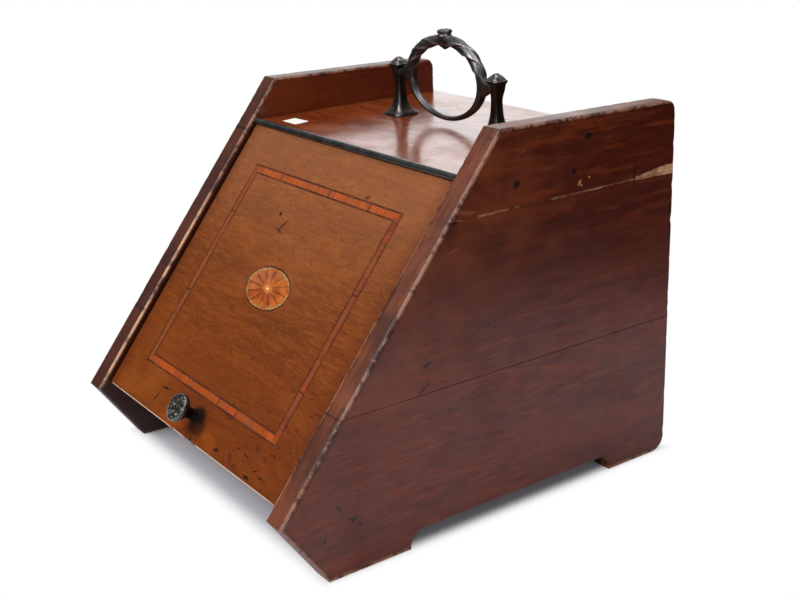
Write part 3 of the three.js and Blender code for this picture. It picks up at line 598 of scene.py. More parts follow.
@dataclass(frozen=True)
class SideMahogany(Mahogany):
    """A glued side: polished faces, duller edges, worn arrises with painted highlights, joints that show,
    painted shade high up where set, and an inside darkened by painted shade and dirt.
    """

    edge: Colour = srgb(98, 52, 30)
    joints_mm: tuple[float, ...] = (127.0,)
    joint_half_mm: float = 0.35
    chipped_joint_mm: float = 0.0
    # Strength of the painted shade drawn high up on the side.
    painted_shade_above: float = 0.0

    def extras(self, graph: Graph, vector: Wire, look: Look) -> None:
        """Adds the edges, arrises and joints, painted highlights on the arrises, and painted shade high up
        and inside.

        The distance to the outline is the least of the distances to its five straight sides. The distance
        from the arris is that one and the distance to the board's nearer face together.
        """
        across, deep, high = graph.parts(vector)
        s, c, back = math.sin(SLOPE), math.cos(SLOPE), CASE_DEPTH / 2 * MM
        fall = TOP_FALL / (CASE_DEPTH - RIDGE_SETBACK)
        slope = deep * s - high * c + (back * s + NOSE_HEIGHT * MM * c)
        nose = deep * NOSE_HEIGHT + high * FOOT_SETBACK + (back - FOOT_SETBACK * MM) * NOSE_HEIGHT
        nose = nose / math.hypot(NOSE_HEIGHT, FOOT_SETBACK)
        top = deep * -fall + high * -1.0 + (SIDE_HEIGHT * MM + fall * (RIDGE_SETBACK * MM - back))
        near = graph.least(slope, nose, top, deep * -1.0 + back, high)
        middle, half = (CASE_WIDTH - SIDE_THICK) / 2 * MM, SIDE_THICK / 2 * MM
        inside = graph.greatest((across.size() - middle).size() * -1.0 + half, 0.0)
        away = near + inside
        inner = graph.step(across.size(), 0.165, 0.1635)
        on_face, on_edge = graph.step(inside, 0.002, 0.0), graph.step(inside, 0.0004, 0.0016)

        fine = graph.noise(vector, 150.0, 5.0, 0.7)
        broad = graph.noise(graph.times(vector, EVEN, (self.seed, 0.0, 0.0)), 24.0, 3.0, 0.6)
        streaks = graph.noise(graph.times(graph.on_slope(), (9.0, 1.0, 9.0)), 26.0, 5.0, 0.65)
        uneven = fine * 0.75 + broad * 0.4
        edge = graph.step(streaks * 0.6 + broad * 0.5, 0.4, 0.7)
        edge = graph.mix(edge, toned(self.edge, 0.4), toned(self.edge, 1.5))
        if self.painted_shade_above:
            ribbons = graph.noise(graph.times(vector, Plane.SIDE.stretch(8.0)), 19.0, 4.0, 0.6, 0.3)
            lit = graph.step(ribbons, 0.46, 0.66) * graph.step(high, 0.16, 0.29)
            # Painted shade: the side is drawn darker towards its top, where less light reaches it.
            above = graph.step(high, 0.135, 0.225) * self.painted_shade_above
            look.colour = graph.layered(look.colour, (above, srgb(54, 9, 0)), (lit * 0.6, srgb(112, 44, 8)))
        warm = graph.step(slope, 0.12, 0.01) * graph.step(high, 0.05, 0.16) * graph.step(broad, 0.3, 0.7)
        dirt = graph.step(away, 0.0064, 0.0012) * graph.step(uneven, 0.62, 0.54)
        # Pale worn arrises, which also carry a painted highlight.
        rubbed = graph.step(away, 0.0028, 0.0014) * graph.step(uneven, 0.5, 0.6)
        near_slope = graph.step(slope, 0.07, 0.004) * on_face
        ragged = graph.bent(vector, 70.0, 3.0)
        scuffs = graph.strokes(ragged, Plane.SIDE, (-32, 15, 2.2, 0.22), (40, 11, 1.8, 0.16))
        scratches = graph.strokes(ragged, Plane.SIDE, (22, 30, 1.3, 0.07))
        # Painted highlight: the inner arris of the slope edge catching the light.
        arris_highlight = graph.step(away, 0.0023, 0.0014) * inner * graph.step(broad, 0.38, 0.5)
        arris_highlight = arris_highlight * graph.step(slope, 0.004, 0.002) * graph.step(high, 0.26, 0.17)
        foot = graph.step(high, 0.005, 0.001) * graph.step(uneven, 0.5, 0.6)
        # Painted shade with dirt: the inside faces behind the slope, below the top board, drawn dark.
        inside_shade_and_dirt = inner * graph.step(slope, 0.001, 0.005) * graph.step(high, 0.282, 0.2795)
        torn, gap = (fine - 0.5) * 0.0016, self.joint_half_mm * MM
        gaps = [graph.step((high + torn * 0.5 - z * MM).size(), gap * 2, gap) for z in self.joints_mm]
        line = sum(gaps[1:], gaps[0]) * (graph.step(deep, -0.13, 0.1) * 0.6 + on_edge * 0.5 + 0.28)
        look.colour = graph.layered(
            look.colour,
            (warm * 0.7, srgb(112, 50, 14)),
            (on_edge * 0.8, edge),
            (dirt * 0.6, srgb(28, 12, 7)),
            (rubbed * 0.55, srgb(160, 118, 98)),
            ((scuffs * near_slope * 0.85).clipped(), srgb(24, 8, 4)),
            (scratches * near_slope * 0.7, srgb(176, 120, 84)),
            (arris_highlight * 0.7, srgb(208, 162, 124)),
            (foot * 0.7, srgb(172, 128, 88)),
            (inside_shade_and_dirt * 0.85, srgb(24, 11, 7)),
            (line * 0.85, srgb(20, 8, 5)),
        )
        look.height = look.height - dirt * 0.6 - graph.step(away, 0.003, 0.0) * fine * 0.8 - line * 0.6
        if self.chipped_joint_mm:
            wedge = graph.step(deep, 0.13, 0.197)
            level = self.chipped_joint_mm * MM + wedge * 0.0024
            chip = graph.step((high + torn * 1.6 - level).size() - wedge * 0.0034, 0.0011, 0.0003)
            shows = graph.step(graph.noise(vector, 42.0, 4.0, 0.7), 0.4, 0.6) * 0.55 + wedge * 0.6
            pale = graph.mix(streaks, srgb(150, 84, 44), srgb(226, 178, 134))
            look.colour = graph.mix((chip * shows * on_face).clipped(), look.colour, pale)
            look.height = look.height - chip * shows * 0.4
        look.dull = graph.greatest(look.dull, on_edge * 0.9)


@dataclass(frozen=True)
class FlapMahogany(Mahogany):
    """The flap: browner above, more orange below, battered low on the right, with worn edges."""

    half_width_mm: float = 151.3
    low_mm: float = 11.0

    def coordinates(self, graph: Graph) -> Wire:
        """Returns coordinates laid along the slope."""
        return graph.on_slope()

    def origin(self, point: Sequence[float]) -> tuple[float, ...]:
        """Returns a point of the slope, in metres."""
        return tuple(c * MM for c in point)

    def extras(self, graph: Graph, vector: Wire, look: Look) -> None:
        """Adds the shift of colour down the flap, the battered part, the worn edges, and painted shade along
        its sides.
        """
        across, along, out = graph.parts(vector)
        patch = graph.noise(vector, 9.0, 3.0, 0.6)
        lower = graph.step(along + (patch - 0.5) * 0.12, 0.19, 0.02)
        upper = graph.step(along + patch * 0.1, 0.15, 0.4)
        worn = graph.step(patch, 0.5, 0.66) * graph.step(along, 0.1, 0.02)
        grime = graph.noise(vector, 75.0, 5.0, 0.7)
        battered = graph.step(across * 0.6 - along, -0.07, 0.03) * graph.step(along, 0.17, 0.06)
        rows = ((8, 15, 3.4, 0.4), (38, 12, 2.6, 0.3), (-24, 18, 2.0, 0.3))
        blows = graph.strokes(graph.bent(vector, 80.0, 3.0), Plane.TOP, *rows).clipped() * battered
        side = across.size() * -1.0 + self.half_width_mm * MM
        end = along - self.low_mm * MM
        rim = graph.step(graph.least(side, end), 0.004, 0.0005) * graph.step(grime, 0.42, 0.6)
        chips = graph.step(end, 0.006, 0.0) * graph.step(grime, 0.62, 0.7)
        edge = graph.step(end, 0.0012, 0.0006) * graph.step(out, -0.012, -0.0062)
        edge = edge * graph.step(grime, 0.36, 0.46)
        look.colour = graph.layered(
            look.colour,
            (lower * 0.6, srgb(98, 38, 0)),
            (upper * 0.5, srgb(152, 100, 68)),
            (worn * 0.35, srgb(146, 78, 20)),
            (blows * 0.9, srgb(40, 16, 5)),
            (rim * 0.55, srgb(74, 34, 12)),
            (chips * 0.9, srgb(20, 9, 5)),
            (edge * 0.85, srgb(214, 184, 154)),
            # Painted shade: a darker band along the flap's sides, beside the side boards.
            (graph.step(side, 0.02, 0.0) * 0.4, srgb(82, 34, 10)),
        )
        look.height = look.height - blows * 1.1 - chips * 0.6


@dataclass(frozen=True)
class Banding:
    """Cross-grained satinwood banding, in lengths of slightly different tone, with open butt joints."""

    name: str
    colour: Colour
    runs_across: bool
    joints_mm: tuple[float, ...]
    fading: float = 0.3

    def material(self) -> bpy.types.Material:
        """Builds the finish."""
        graph = Graph(self.name)
        vector = graph.on_slope()
        across, along, _ = graph.parts(vector)
        run = across if self.runs_across else along
        stretch = (1.0, 0.05, 0.05) if self.runs_across else (0.05, 1.0, 0.05)
        lines = graph.noise(graph.times(vector, stretch), 620.0, 3.0, 0.7)
        lengths = graph.noise(graph.times(vector, stretch, (self.fading, 0.0, 0.0)), 30.0, 2.0)
        dull = graph.noise(vector, 60.0, 5.0, 0.65)
        colour = graph.layered(
            toned(self.colour, 0.55),
            (graph.step(lines, 0.3, 0.7), toned(self.colour, 1.3)),
            (graph.step(lengths, 0.45, 0.6) * 0.35, srgb(140, 56, 18)),
            (graph.step(lengths, 0.46, 0.36) * 0.45, srgb(168, 58, 8)),
            (graph.step(dull, 0.62 - self.fading * 0.4, 0.68) * 0.8, srgb(118, 60, 22)),
        )
        height = lines * 0.3 + 0.5
        for joint in self.joints_mm:
            gap = graph.step((run + (dull - 0.5) * 0.001 - joint * MM).size(), 0.0012, 0.0004)
            colour = graph.mix(gap * 0.85, colour, srgb(40, 20, 14))
            height = height - gap * 0.5
        rough = dull * 0.3 + 0.26
        return graph.surface(height, 0.05, Base_Color=colour, Roughness=rough, Specular_IOR_Level=0.25)


@dataclass(frozen=True)
class Patera:
    """The inlaid oval: sand-shaded petals, thin dark knife lines between them, and pale tips."""

    name: str
    tips: bool = False
    centre_mm: float = 151.6
    half_mm: tuple[float, float] = (33.0, 19.2)
    petals: int = 12

    def material(self) -> bpy.types.Material:
        """Builds the finish."""
        graph = Graph(self.name)
        vector = graph.on_slope()
        across, along, _ = graph.parts(vector)
        up = (along - self.centre_mm * MM) * (self.half_mm[0] / self.half_mm[1])
        turn = graph.math("ARCTAN2", up, across) / (2 * math.pi) + 1.0
        share = graph.math("FRACT", turn * self.petals)
        radius = (across * across + up * up) ** 0.5
        grain = graph.noise(vector, 420.0, 4.0, 0.7)
        tone = graph.noise(graph.times(vector, (1.0, 1.7, 1.0)), 62.0, 1.0)
        if self.tips:
            colour = graph.mix(grain, srgb(138, 88, 42), srgb(190, 146, 92))
            colour = graph.mix(graph.step(tone, 0.46, 0.58) * 0.85, colour, srgb(150, 78, 22))
        else:
            scorched = graph.step(share, 0.42, 0.0) * (graph.step(tone, 0.38, 0.6) * 0.6 + 0.2)
            colour = graph.layered(
                srgb(146, 66, 12),
                (grain, srgb(190, 106, 36)),
                (graph.step(tone, 0.44, 0.6) * 0.75, srgb(134, 54, 12)),
                (graph.step(up - across, 0.002, 0.016) * 0.5, srgb(156, 92, 56)),
                (scorched, srgb(96, 32, 8)),
                (graph.step(radius, 0.009, 0.002) * 0.55, srgb(208, 134, 64)),
                (graph.step(radius, 0.0022, 0.0012), srgb(226, 196, 150)),
            )
        knife = graph.step((share - 0.5).size(), 0.45, 0.49) * graph.step(radius, 0.004, 0.013)
        colour = graph.mix(knife * 0.9, colour, srgb(54, 20, 8))
        height, rough = grain * 0.4 - knife * 0.4 + 0.4, grain * 0.2 + 0.3
        return graph.surface(height, 0.06, Base_Color=colour, Roughness=rough, Specular_IOR_Level=0.25)


@dataclass(frozen=True)
class DyedString:
    """Black-dyed stringing, rubbed to brown along parts of its length."""

    name: str

    def material(self) -> bpy.types.Material:
        """Builds the finish."""
        graph = Graph(self.name)
        vector = graph.own()
        rubbed = graph.noise(vector, 34.0, 5.0, 0.7)
        colour = graph.mix(graph.step(rubbed, 0.42, 0.62) * 0.8, srgb(52, 27, 20), srgb(108, 54, 22))
        fine, rough = graph.noise(vector, 900.0, 3.0), rubbed * 0.3 + 0.3
        return graph.surface(fine, 0.04, Base_Color=colour, Roughness=rough, Specular_IOR_Level=0.3)


@dataclass(frozen=True)
class CastBronze:
    """Blackened cast metal: cloudy patina, a fine cast skin, and grey rub-through on its crests."""

    name: str
    dark: Colour = srgb(44, 38, 33)
    rubbed: Colour = srgb(176, 176, 180)
    roughness: float = 0.36
    carved: bool = True

    def material(self) -> bpy.types.Material:
        """Builds the finish."""
        graph = Graph(self.name)
        vector = graph.own()
        cloud = graph.noise(vector, 60.0, 4.0, 0.62)
        skin = graph.noise(vector, 520.0, 4.0, 0.7)
        dents = graph.noise(vector, 150.0, 1.0)
        patchy = graph.step(skin * 0.2 + cloud * 0.8, 0.42, 0.62)
        if self.carved:
            crest = (graph.mark("crest") * (patchy * 0.35 + 0.65)).clipped()
        else:
            crest = patchy * 0.2 + 0.3
        colour = graph.layered(
            self.dark,
            (graph.step(cloud, 0.35, 0.7), toned(self.dark, 1.8)),
            (graph.step(skin, 0.56, 0.7) * 0.3, srgb(66, 46, 30)),
            ((crest * 0.75).clipped(), self.rubbed),
        )
        height, rough = skin * 0.25 + dents * 1.4, (cloud - 0.5) * 0.3 + self.roughness - crest * 0.1
        return graph.surface(height, 0.14, Base_Color=colour, Metallic=0.85, Roughness=rough.clipped())


@dataclass(frozen=True)
class DullSteel:
    """Plain steel fastenings, grey and tarnished, with brown in the pits."""

    name: str

    def material(self) -> bpy.types.Material:
        """Builds the finish."""
        graph = Graph(self.name)
        vector = graph.own()
        cloud = graph.noise(vector, 130.0, 5.0, 0.65)
        rust = graph.step(graph.noise(vector, 320.0, 4.0, 0.7), 0.5, 0.66)
        colour = graph.layered(srgb(96, 96, 94), (cloud, srgb(156, 154, 148)), (rust * 0.6, srgb(98, 60, 34)))
        height, rough = cloud * 0.5 + rust * 0.4, cloud * 0.35 + 0.28
        return graph.surface(height, 0.08, Base_Color=colour, Metallic=0.85, Roughness=rough)


@dataclass(frozen=True)
class JapannedSheet:
    """Black japanned sheet iron: scored by shovels, rusty in patches, with coal dust low down."""

    name: str

    def material(self) -> bpy.types.Material:
        """Builds the finish."""
        graph = Graph(self.name)
        vector = graph.own()
        _, _, high = graph.parts(vector)
        cloud = graph.noise(vector, 22.0, 5.0, 0.65)
        fine = graph.noise(vector, 260.0, 4.0, 0.7)
        ragged = graph.bent(vector, 40.0, 2.0)
        scores = graph.strokes(ragged, Plane.TOP, (82, 44, 2.4, 0.2))
        scores = scores + graph.strokes(ragged, Plane.SIDE, (74, 36, 2.4, 0.14))
        scores = (scores + graph.strokes(ragged, Plane.BACK, (62, 30, 2.4, 0.12))).clipped()
        rust = graph.step(cloud * 0.6 + fine * 0.45, 0.52, 0.66)
        dust = graph.step(high, 0.075, 0.028) * graph.step(fine, 0.3, 0.6)
        colour = graph.layered(
            srgb(26, 27, 29),
            (cloud, srgb(58, 58, 60)),
            (rust * 0.55, srgb(92, 52, 30)),
            (scores * 0.7, srgb(132, 128, 122)),
            (dust * 0.7, srgb(18, 17, 17)),
        )
        rough = (cloud * 0.25 + 0.42 + dust * 0.3 + rust * 0.15).clipped()
        height = cloud * 0.4 + fine * 0.2 - scores * 0.3
        return graph.surface(height, 0.3, Base_Color=colour, Metallic=scores * 0.8, Roughness=rough)


@dataclass(frozen=True)
class PlainBoard:
    """Unpolished boards: dry straight grain, coal dust and a few scores."""

    name: str
    pale: Colour
    brown: Colour
    plane: Plane

    def material(self) -> bpy.types.Material:
        """Builds the finish."""
        graph = Graph(self.name)
        vector = graph.own()
        along = graph.times(vector, self.plane.stretch(14.0))
        streaks = graph.noise(along, 22.0, 6.0, 0.65, 0.3)
        rings = graph.noise(along, 5.0, 2.0, 0.5, 0.8)
        dirt = graph.noise(vector, 18.0, 5.0, 0.65)
        scores = graph.strokes(graph.bent(vector, 50.0, 2.0), self.plane, (31, 30, 2.2, 0.06))
        colour = graph.layered(
            self.brown,
            (graph.step(streaks * 0.7 + rings * 0.4, 0.4, 0.75), self.pale),
            (graph.step(dirt, 0.42, 0.7) * 0.6, toned(self.brown, 0.35)),
            (scores * 0.5, srgb(40, 28, 20)),
        )
        height, rough = streaks * 0.6 - scores * 0.5, dirt * 0.2 + 0.55
        return graph.surface(height, 0.15, Base_Color=colour, Roughness=rough)


@dataclass(frozen=True)
class Paper:
    """A blank paper label, off-white, with a little tooth."""

    name: str

    def material(self) -> bpy.types.Material:
        """Builds the finish."""
        graph = Graph(self.name)
        vector = graph.own()
        tooth = graph.noise(vector, 1400.0, 4.0, 0.7)
        stain = graph.step(graph.noise(vector, 150.0, 3.0), 0.5, 0.75)
        colour = graph.mix(stain * 0.5, srgb(226, 225, 222), srgb(212, 207, 194))
        return graph.surface(tooth, 0.03, Base_Color=colour, Roughness=stain * 0.1 + 0.7)


# ---- The case ----


@dataclass
class Side:
    """One side, glued up from three boards, each a rounded slab that follows its outline."""

    name: str
    sign: int
    seams: tuple[float, float]
    seed: int
    width: float = CASE_WIDTH
    thick: float = SIDE_THICK
    arch: tuple[float, float] = (114.0, 325.5)
    toe: float = 1.5
    cove: float = 13.0
    heel: float = 14.0
    corner: float = 9.0
    arris: float = 2.3
    seam_arris: float = 0.12
    glue: float = 0.06
    spacing: float = 2.6
    arc_points: int = 9
    round_points: int = 6
    flat_rings: tuple[float, float] = (0.5, 0.25)
    dents: int = 90
    dent_width: tuple[float, float] = (0.8, 3.2)
    dent_depth: tuple[float, float] = (0.15, 0.9)

    def arc(self, centre: tuple[float, float], radius: float, start: float, end: float) -> Array:
        """Returns points of an arc, its angles in quarter turns."""
        angle = np.linspace(start, end, self.arc_points) * np.pi / 2
        return np.stack([centre[0] + radius * np.cos(angle), centre[1] + radius * np.sin(angle)], -1)

    def outline(self) -> Array:
        """Returns the side's outline in y and z, counterclockwise from the front foot."""
        back = SIDE_HEIGHT - TOP_FALL
        return np.vstack([
            [[FOOT_SETBACK, 0.0], [self.arch[0], 0.0]],
            self.arc((self.arch[0] + self.cove, self.toe), self.cove, 2, 1)[1:],
            self.arc((self.arch[1] - self.cove, self.toe), self.cove, 1, 0)[:-1],
            [[self.arch[1], 0.0]],
            self.arc((CASE_DEPTH - self.heel, self.heel), self.heel, -1, 0),
            self.arc((CASE_DEPTH - self.corner, back - self.corner), self.corner, 0, 1),
            [[RIDGE_SETBACK, SIDE_HEIGHT], [0.0, NOSE_HEIGHT]],
        ])

    def clipped(self, points: Array, level: float, above: bool) -> Array:
        """Returns an outline cut off at a level: kept points and the two crossings, in their order."""
        height = (points[:, 1] - level) * (1 if above else -1)
        following = np.roll(points, -1, 0)
        ahead = np.roll(height, -1)
        crosses = (height > 0) != (ahead > 0)
        share = np.where(crosses, height / np.where(crosses, height - ahead, 1.0), 0.0)[:, None]
        between = points + (following - points) * share
        order = np.concatenate([np.flatnonzero(height > 0), np.flatnonzero(crosses) + 0.5])
        kept = np.vstack([points[height > 0], between[crosses]])
        return kept[np.argsort(order)]

    def spaced(self, points: Array, levels: Sequence[float]) -> Array:
        """Returns the outline with long edges divided into equal parts, apart from those glued at a level."""
        ends = np.roll(points, -1, 0)
        edges = ends - points
        glued = np.any([(points[:, 1] == z) & (ends[:, 1] == z) for z in levels], axis=0)
        counts = np.maximum(1, np.ceil(np.linalg.norm(edges, axis=1) / self.spacing)).astype(int)
        counts = np.where(glued, 1, counts)
        first = np.repeat(np.arange(len(points)), counts)
        within = np.arange(len(first)) - np.repeat(np.cumsum(counts) - counts, counts)
        return points[first] + edges[first] * (within / counts[first])[:, None]

    def board(self, low: float, high: float) -> Surface:
        """Returns the board between two levels.

        The outline's edges are carried across the thickness. Near each face they are drawn in along a
        quarter circle, and past it two rings lie flat in the face. A corner is where the two drawn-in edges
        meet. Dents are bell curves along the arrises, at seeded places, that push the round inwards.
        """
        line = self.outline()
        line = self.clipped(line, low, True) if low > 0 else line
        line = self.clipped(line, high, False) if high < SIDE_HEIGHT else line
        levels = [z for z in (low, high) if 0 < z < SIDE_HEIGHT]
        line = self.spaced(np.round(line, 6), np.round(levels, 6))
        edges = np.roll(line, -1, 0) - line
        length = np.linalg.norm(edges, axis=1)
        line, edges, length = (a[length > TOUCH_MM] for a in (line, edges, length))
        inward = np.stack([-edges[:, 1], edges[:, 0]], -1) / length[:, None]
        before = np.roll(inward, 1, 0)
        flat = np.abs(edges[:, 1]) < TOUCH_MM
        seam = np.any([(np.abs(line[:, 1] - z) < TOUCH_MM) & flat for z in levels], axis=0)
        seam_before = np.roll(seam, 1)

        half, round_ = self.thick / 2, np.linspace(0, np.pi / 2, self.round_points)
        shoulder = np.concatenate([[half, half], half - self.arris + self.arris * np.cos(round_)])
        middle = np.array([half * 0.5, 0.0, -half * 0.5])
        x = np.concatenate([shoulder, middle, -shoulder[::-1]])
        drawn = np.concatenate([[1.0, 1.0], 1 - np.sin(round_)])
        drawn = np.concatenate([drawn, np.zeros(3), drawn[::-1]])
        ring = np.zeros(len(x))
        ring[[0, -1]], ring[[1, -2]] = self.flat_rings

        def draw_in(is_seam: Array) -> Array:
            """Returns how far each edge is drawn in at each station."""
            return drawn * np.where(is_seam, self.seam_arris, self.arris)[:, None] + ring

        one, two = draw_in(seam_before), draw_in(seam)
        cosine = (before * inward).sum(1)[:, None]
        straight = np.abs(cosine) > 0.9999
        spread = np.where(straight, 1.0, 1 - cosine**2)
        share_one = np.where(straight, one / 2, (one - two * cosine) / spread)
        share_two = np.where(straight, two / 2, (two - one * cosine) / spread)
        drawn_in = before[:, None] * share_one[..., None] + inward[:, None] * share_two[..., None]
        place = line[:, None] + drawn_in

        rng = np.random.default_rng(self.seed * 100 + int(low))
        travelled = np.cumsum(length) - length
        centres = rng.uniform(0, travelled[-1], self.dents)
        widths = rng.uniform(*self.dent_width, self.dents)
        depths = rng.uniform(*self.dent_depth, self.dents) ** 2
        sides = rng.choice([-1.0, 1.0], self.dents)
        dent = bell(travelled[:, None], centres, widths) * depths
        shown = (np.sign(x)[:, None] == sides) * (np.abs(x) / half)[:, None] ** 6
        push = (dent @ shown.T) * (ring == 0) * (~(seam | seam_before))[:, None]
        bisector = before + inward
        bisector /= np.maximum(np.linalg.norm(bisector, axis=1), 1e-9)[:, None]
        place = place + bisector[:, None] * push[..., None]
        across = self.sign * (self.width / 2 - half) + x - np.sign(x) * push * 0.6

        rows, columns = across.shape
        points = np.concatenate([across[..., None], place], -1).reshape(-1, 3)
        first = (np.arange(rows) * columns).tolist()
        last = (np.arange(rows) * columns + columns - 1).tolist()
        return Surface(points, lattice(rows, columns, True, False) + [first[::-1], last])

    def build(self, finish: SideMahogany) -> int:
        """Builds and dresses the three boards; returns how many there are."""
        material = finish.material()
        levels = [0.0, *self.seams, SIDE_HEIGHT]
        parts = ("bottom", "middle", "top")
        for i, part in enumerate(parts):
            low = levels[i] + (self.glue / 2 if i else 0)
            high = levels[i + 1] - (self.glue / 2 if i < 2 else 0)
            node = f"side_{self.name}_{part}_board"
            board = self.board(low, high)
            make_piece(f"{self.name}_side_{part}", board, material, "case", [node])
        return len(parts)


@dataclass
class Case:
    """The carcase: two sides, top board, back, floor, and the strips inside."""

    label_corners: tuple[tuple[float, float], ...] = (
        (-129.0, 197.4), (-106.0, 197.6), (-108.5, 213.4), (-131.5, 212.6),
    )
    label_points: tuple[int, int] = (13, 9)
    label_thick: float = 0.12
    label_gap: float = 0.06
    label_lift: float = 0.5

    def sides(self) -> int:
        """Builds both sides; returns how many boards they have."""
        right = SideMahogany(
            "mahogany_right_side", srgb(74, 22, 4), srgb(98, 33, 7), srgb(124, 50, 14), Plane.SIDE,
            CASE_WIDTH / 2, 1.0, coat=0.12, coarse=0.5, specular=0.36, chipped_joint_mm=254.5,
            edge=srgb(94, 48, 28), painted_shade_above=0.7,
            blemishes=blemished(
                (294.4, 298.5, 5.0, 3.0, 10), (279.5, 272.3, 4.0, 3.2, 30), (221.4, 271.9, 5.0, 3.4, 20),
                (285.3, 262.3, 3.4, 1.9, 60, Shade.PALE), (287.6, 259.8, 2.0, 1.2, -20, Shade.PALE),
                (296.4, 264.4, 1.8, 1.1, -30, Shade.PALE), (346.0, 256.0, 18.0, 1.5, 90, Shade.SOOT_AND_SHADOW),
                (173.0, 259.6, 15.0, 2.4, -7, Shade.TAN), (161.0, 253.8, 6.0, 1.4, -5),
                (199.8, 164.4, 2.0, 1.8), (133.3, 149.2, 7.0, 2.0, 28), (130.8, 132.2, 11.0, 1.3, 34),
                (50.1, 58.4, 3.0, 1.9, 24), (50.1, 57.4, 7.0, 0.9, -60), (60.8, 45.7, 5.0, 2.0, -12),
                (61.8, 44.7, 8.0, 1.0, 52), (67.0, 39.5, 5.0, 1.2, -48), (36.3, 36.9, 4.0, 1.2, -75),
            ),
        )
        left = SideMahogany(
            "mahogany_left_side", srgb(88, 30, 9), srgb(108, 40, 12), srgb(126, 52, 18), Plane.SIDE,
            -CASE_WIDTH / 2, 21.0, coat=0.14, specular=0.36, coarse=0.35, joints_mm=(123.0, 273.0),
            joint_half_mm=0.55, edge=srgb(54, 25, 17),
        )
        boards = Side("right", 1, (127.0, 254.5), 3).build(right)
        return boards + Side("left", -1, (123.0, 273.0), 8).build(left)

    def build(self) -> int:
        """Builds and dresses the case; returns how many pieces it dressed."""
        count = self.sides()
        top = Mahogany(
            "mahogany_top", srgb(94, 36, 12), srgb(126, 56, 22), srgb(146, 76, 36), Plane.TOP,
            TOP_BOARD, 33.0, roughness=0.2, coat=0.26, coat_roughness=0.13, ripple_mm=0.75, worn=0.5,
            blemishes=blemished(
                (-13.2, 371.2, 4.0, 1.8, 20), (41.8, 289.9, 2.4, 1.6), (8.0, 199.0, 2.0, 1.4, 0, Shade.PALE)
            ),
        )
        plain = PlainBoard("plain_boards", srgb(132, 96, 62), srgb(90, 60, 36), Plane.TOP)
        back = PlainBoard("stained_back", srgb(104, 56, 32), srgb(64, 31, 18), Plane.BACK)
        backs = [f"back_board_{level}" for level in ("lower", "middle", "upper")]
        count += dress(top.material(), "top_board")
        count += dress(plain.material(), "floor_board", "flap_stop_left", "flap_stop_right")
        count += dress(back.material(), *backs, "front_sloping_board")
        self.label()
        return count + 1

    def label(self) -> bpy.types.Object:
        """Builds the blank label: a sheet between four corners, with one corner lifted by (u v) ** 6."""
        u, v = np.meshgrid(*(np.linspace(0, 1, count) for count in self.label_points), indexing="ij")
        a, b, c, d = (np.array([*corner, TOP_BOARD]) for corner in self.label_corners)
        u3, v3 = u[..., None], v[..., None]
        flat = a * (1 - u3) * (1 - v3) + b * u3 * (1 - v3) + c * u3 * v3 + d * (1 - u3) * v3
        rise = np.array([0, 0, 1.0]) * (self.label_gap + self.label_lift * (u * v) ** 6)[..., None]
        rows, columns = u.shape
        count = rows * columns
        upper = flat + rise + [0, 0, self.label_thick]
        points = np.vstack([upper.reshape(-1, 3), (flat + rise).reshape(-1, 3)])
        sheet = np.array(lattice(rows, columns, False, False))
        number = np.arange(count).reshape(rows, columns)
        rim = np.concatenate([number[0], number[1:, -1], number[-1, -2::-1], number[-2:0:-1, 0]])
        after = np.roll(rim, -1)
        edge = np.stack([rim, after, after + count, rim + count], -1)
        faces = np.vstack([sheet, sheet[:, ::-1] + count, edge]).tolist()
        paper = Paper("label_paper").material()
        return make_piece("blank_label", Surface(points, faces), paper, "case")


# ---- The flap ----


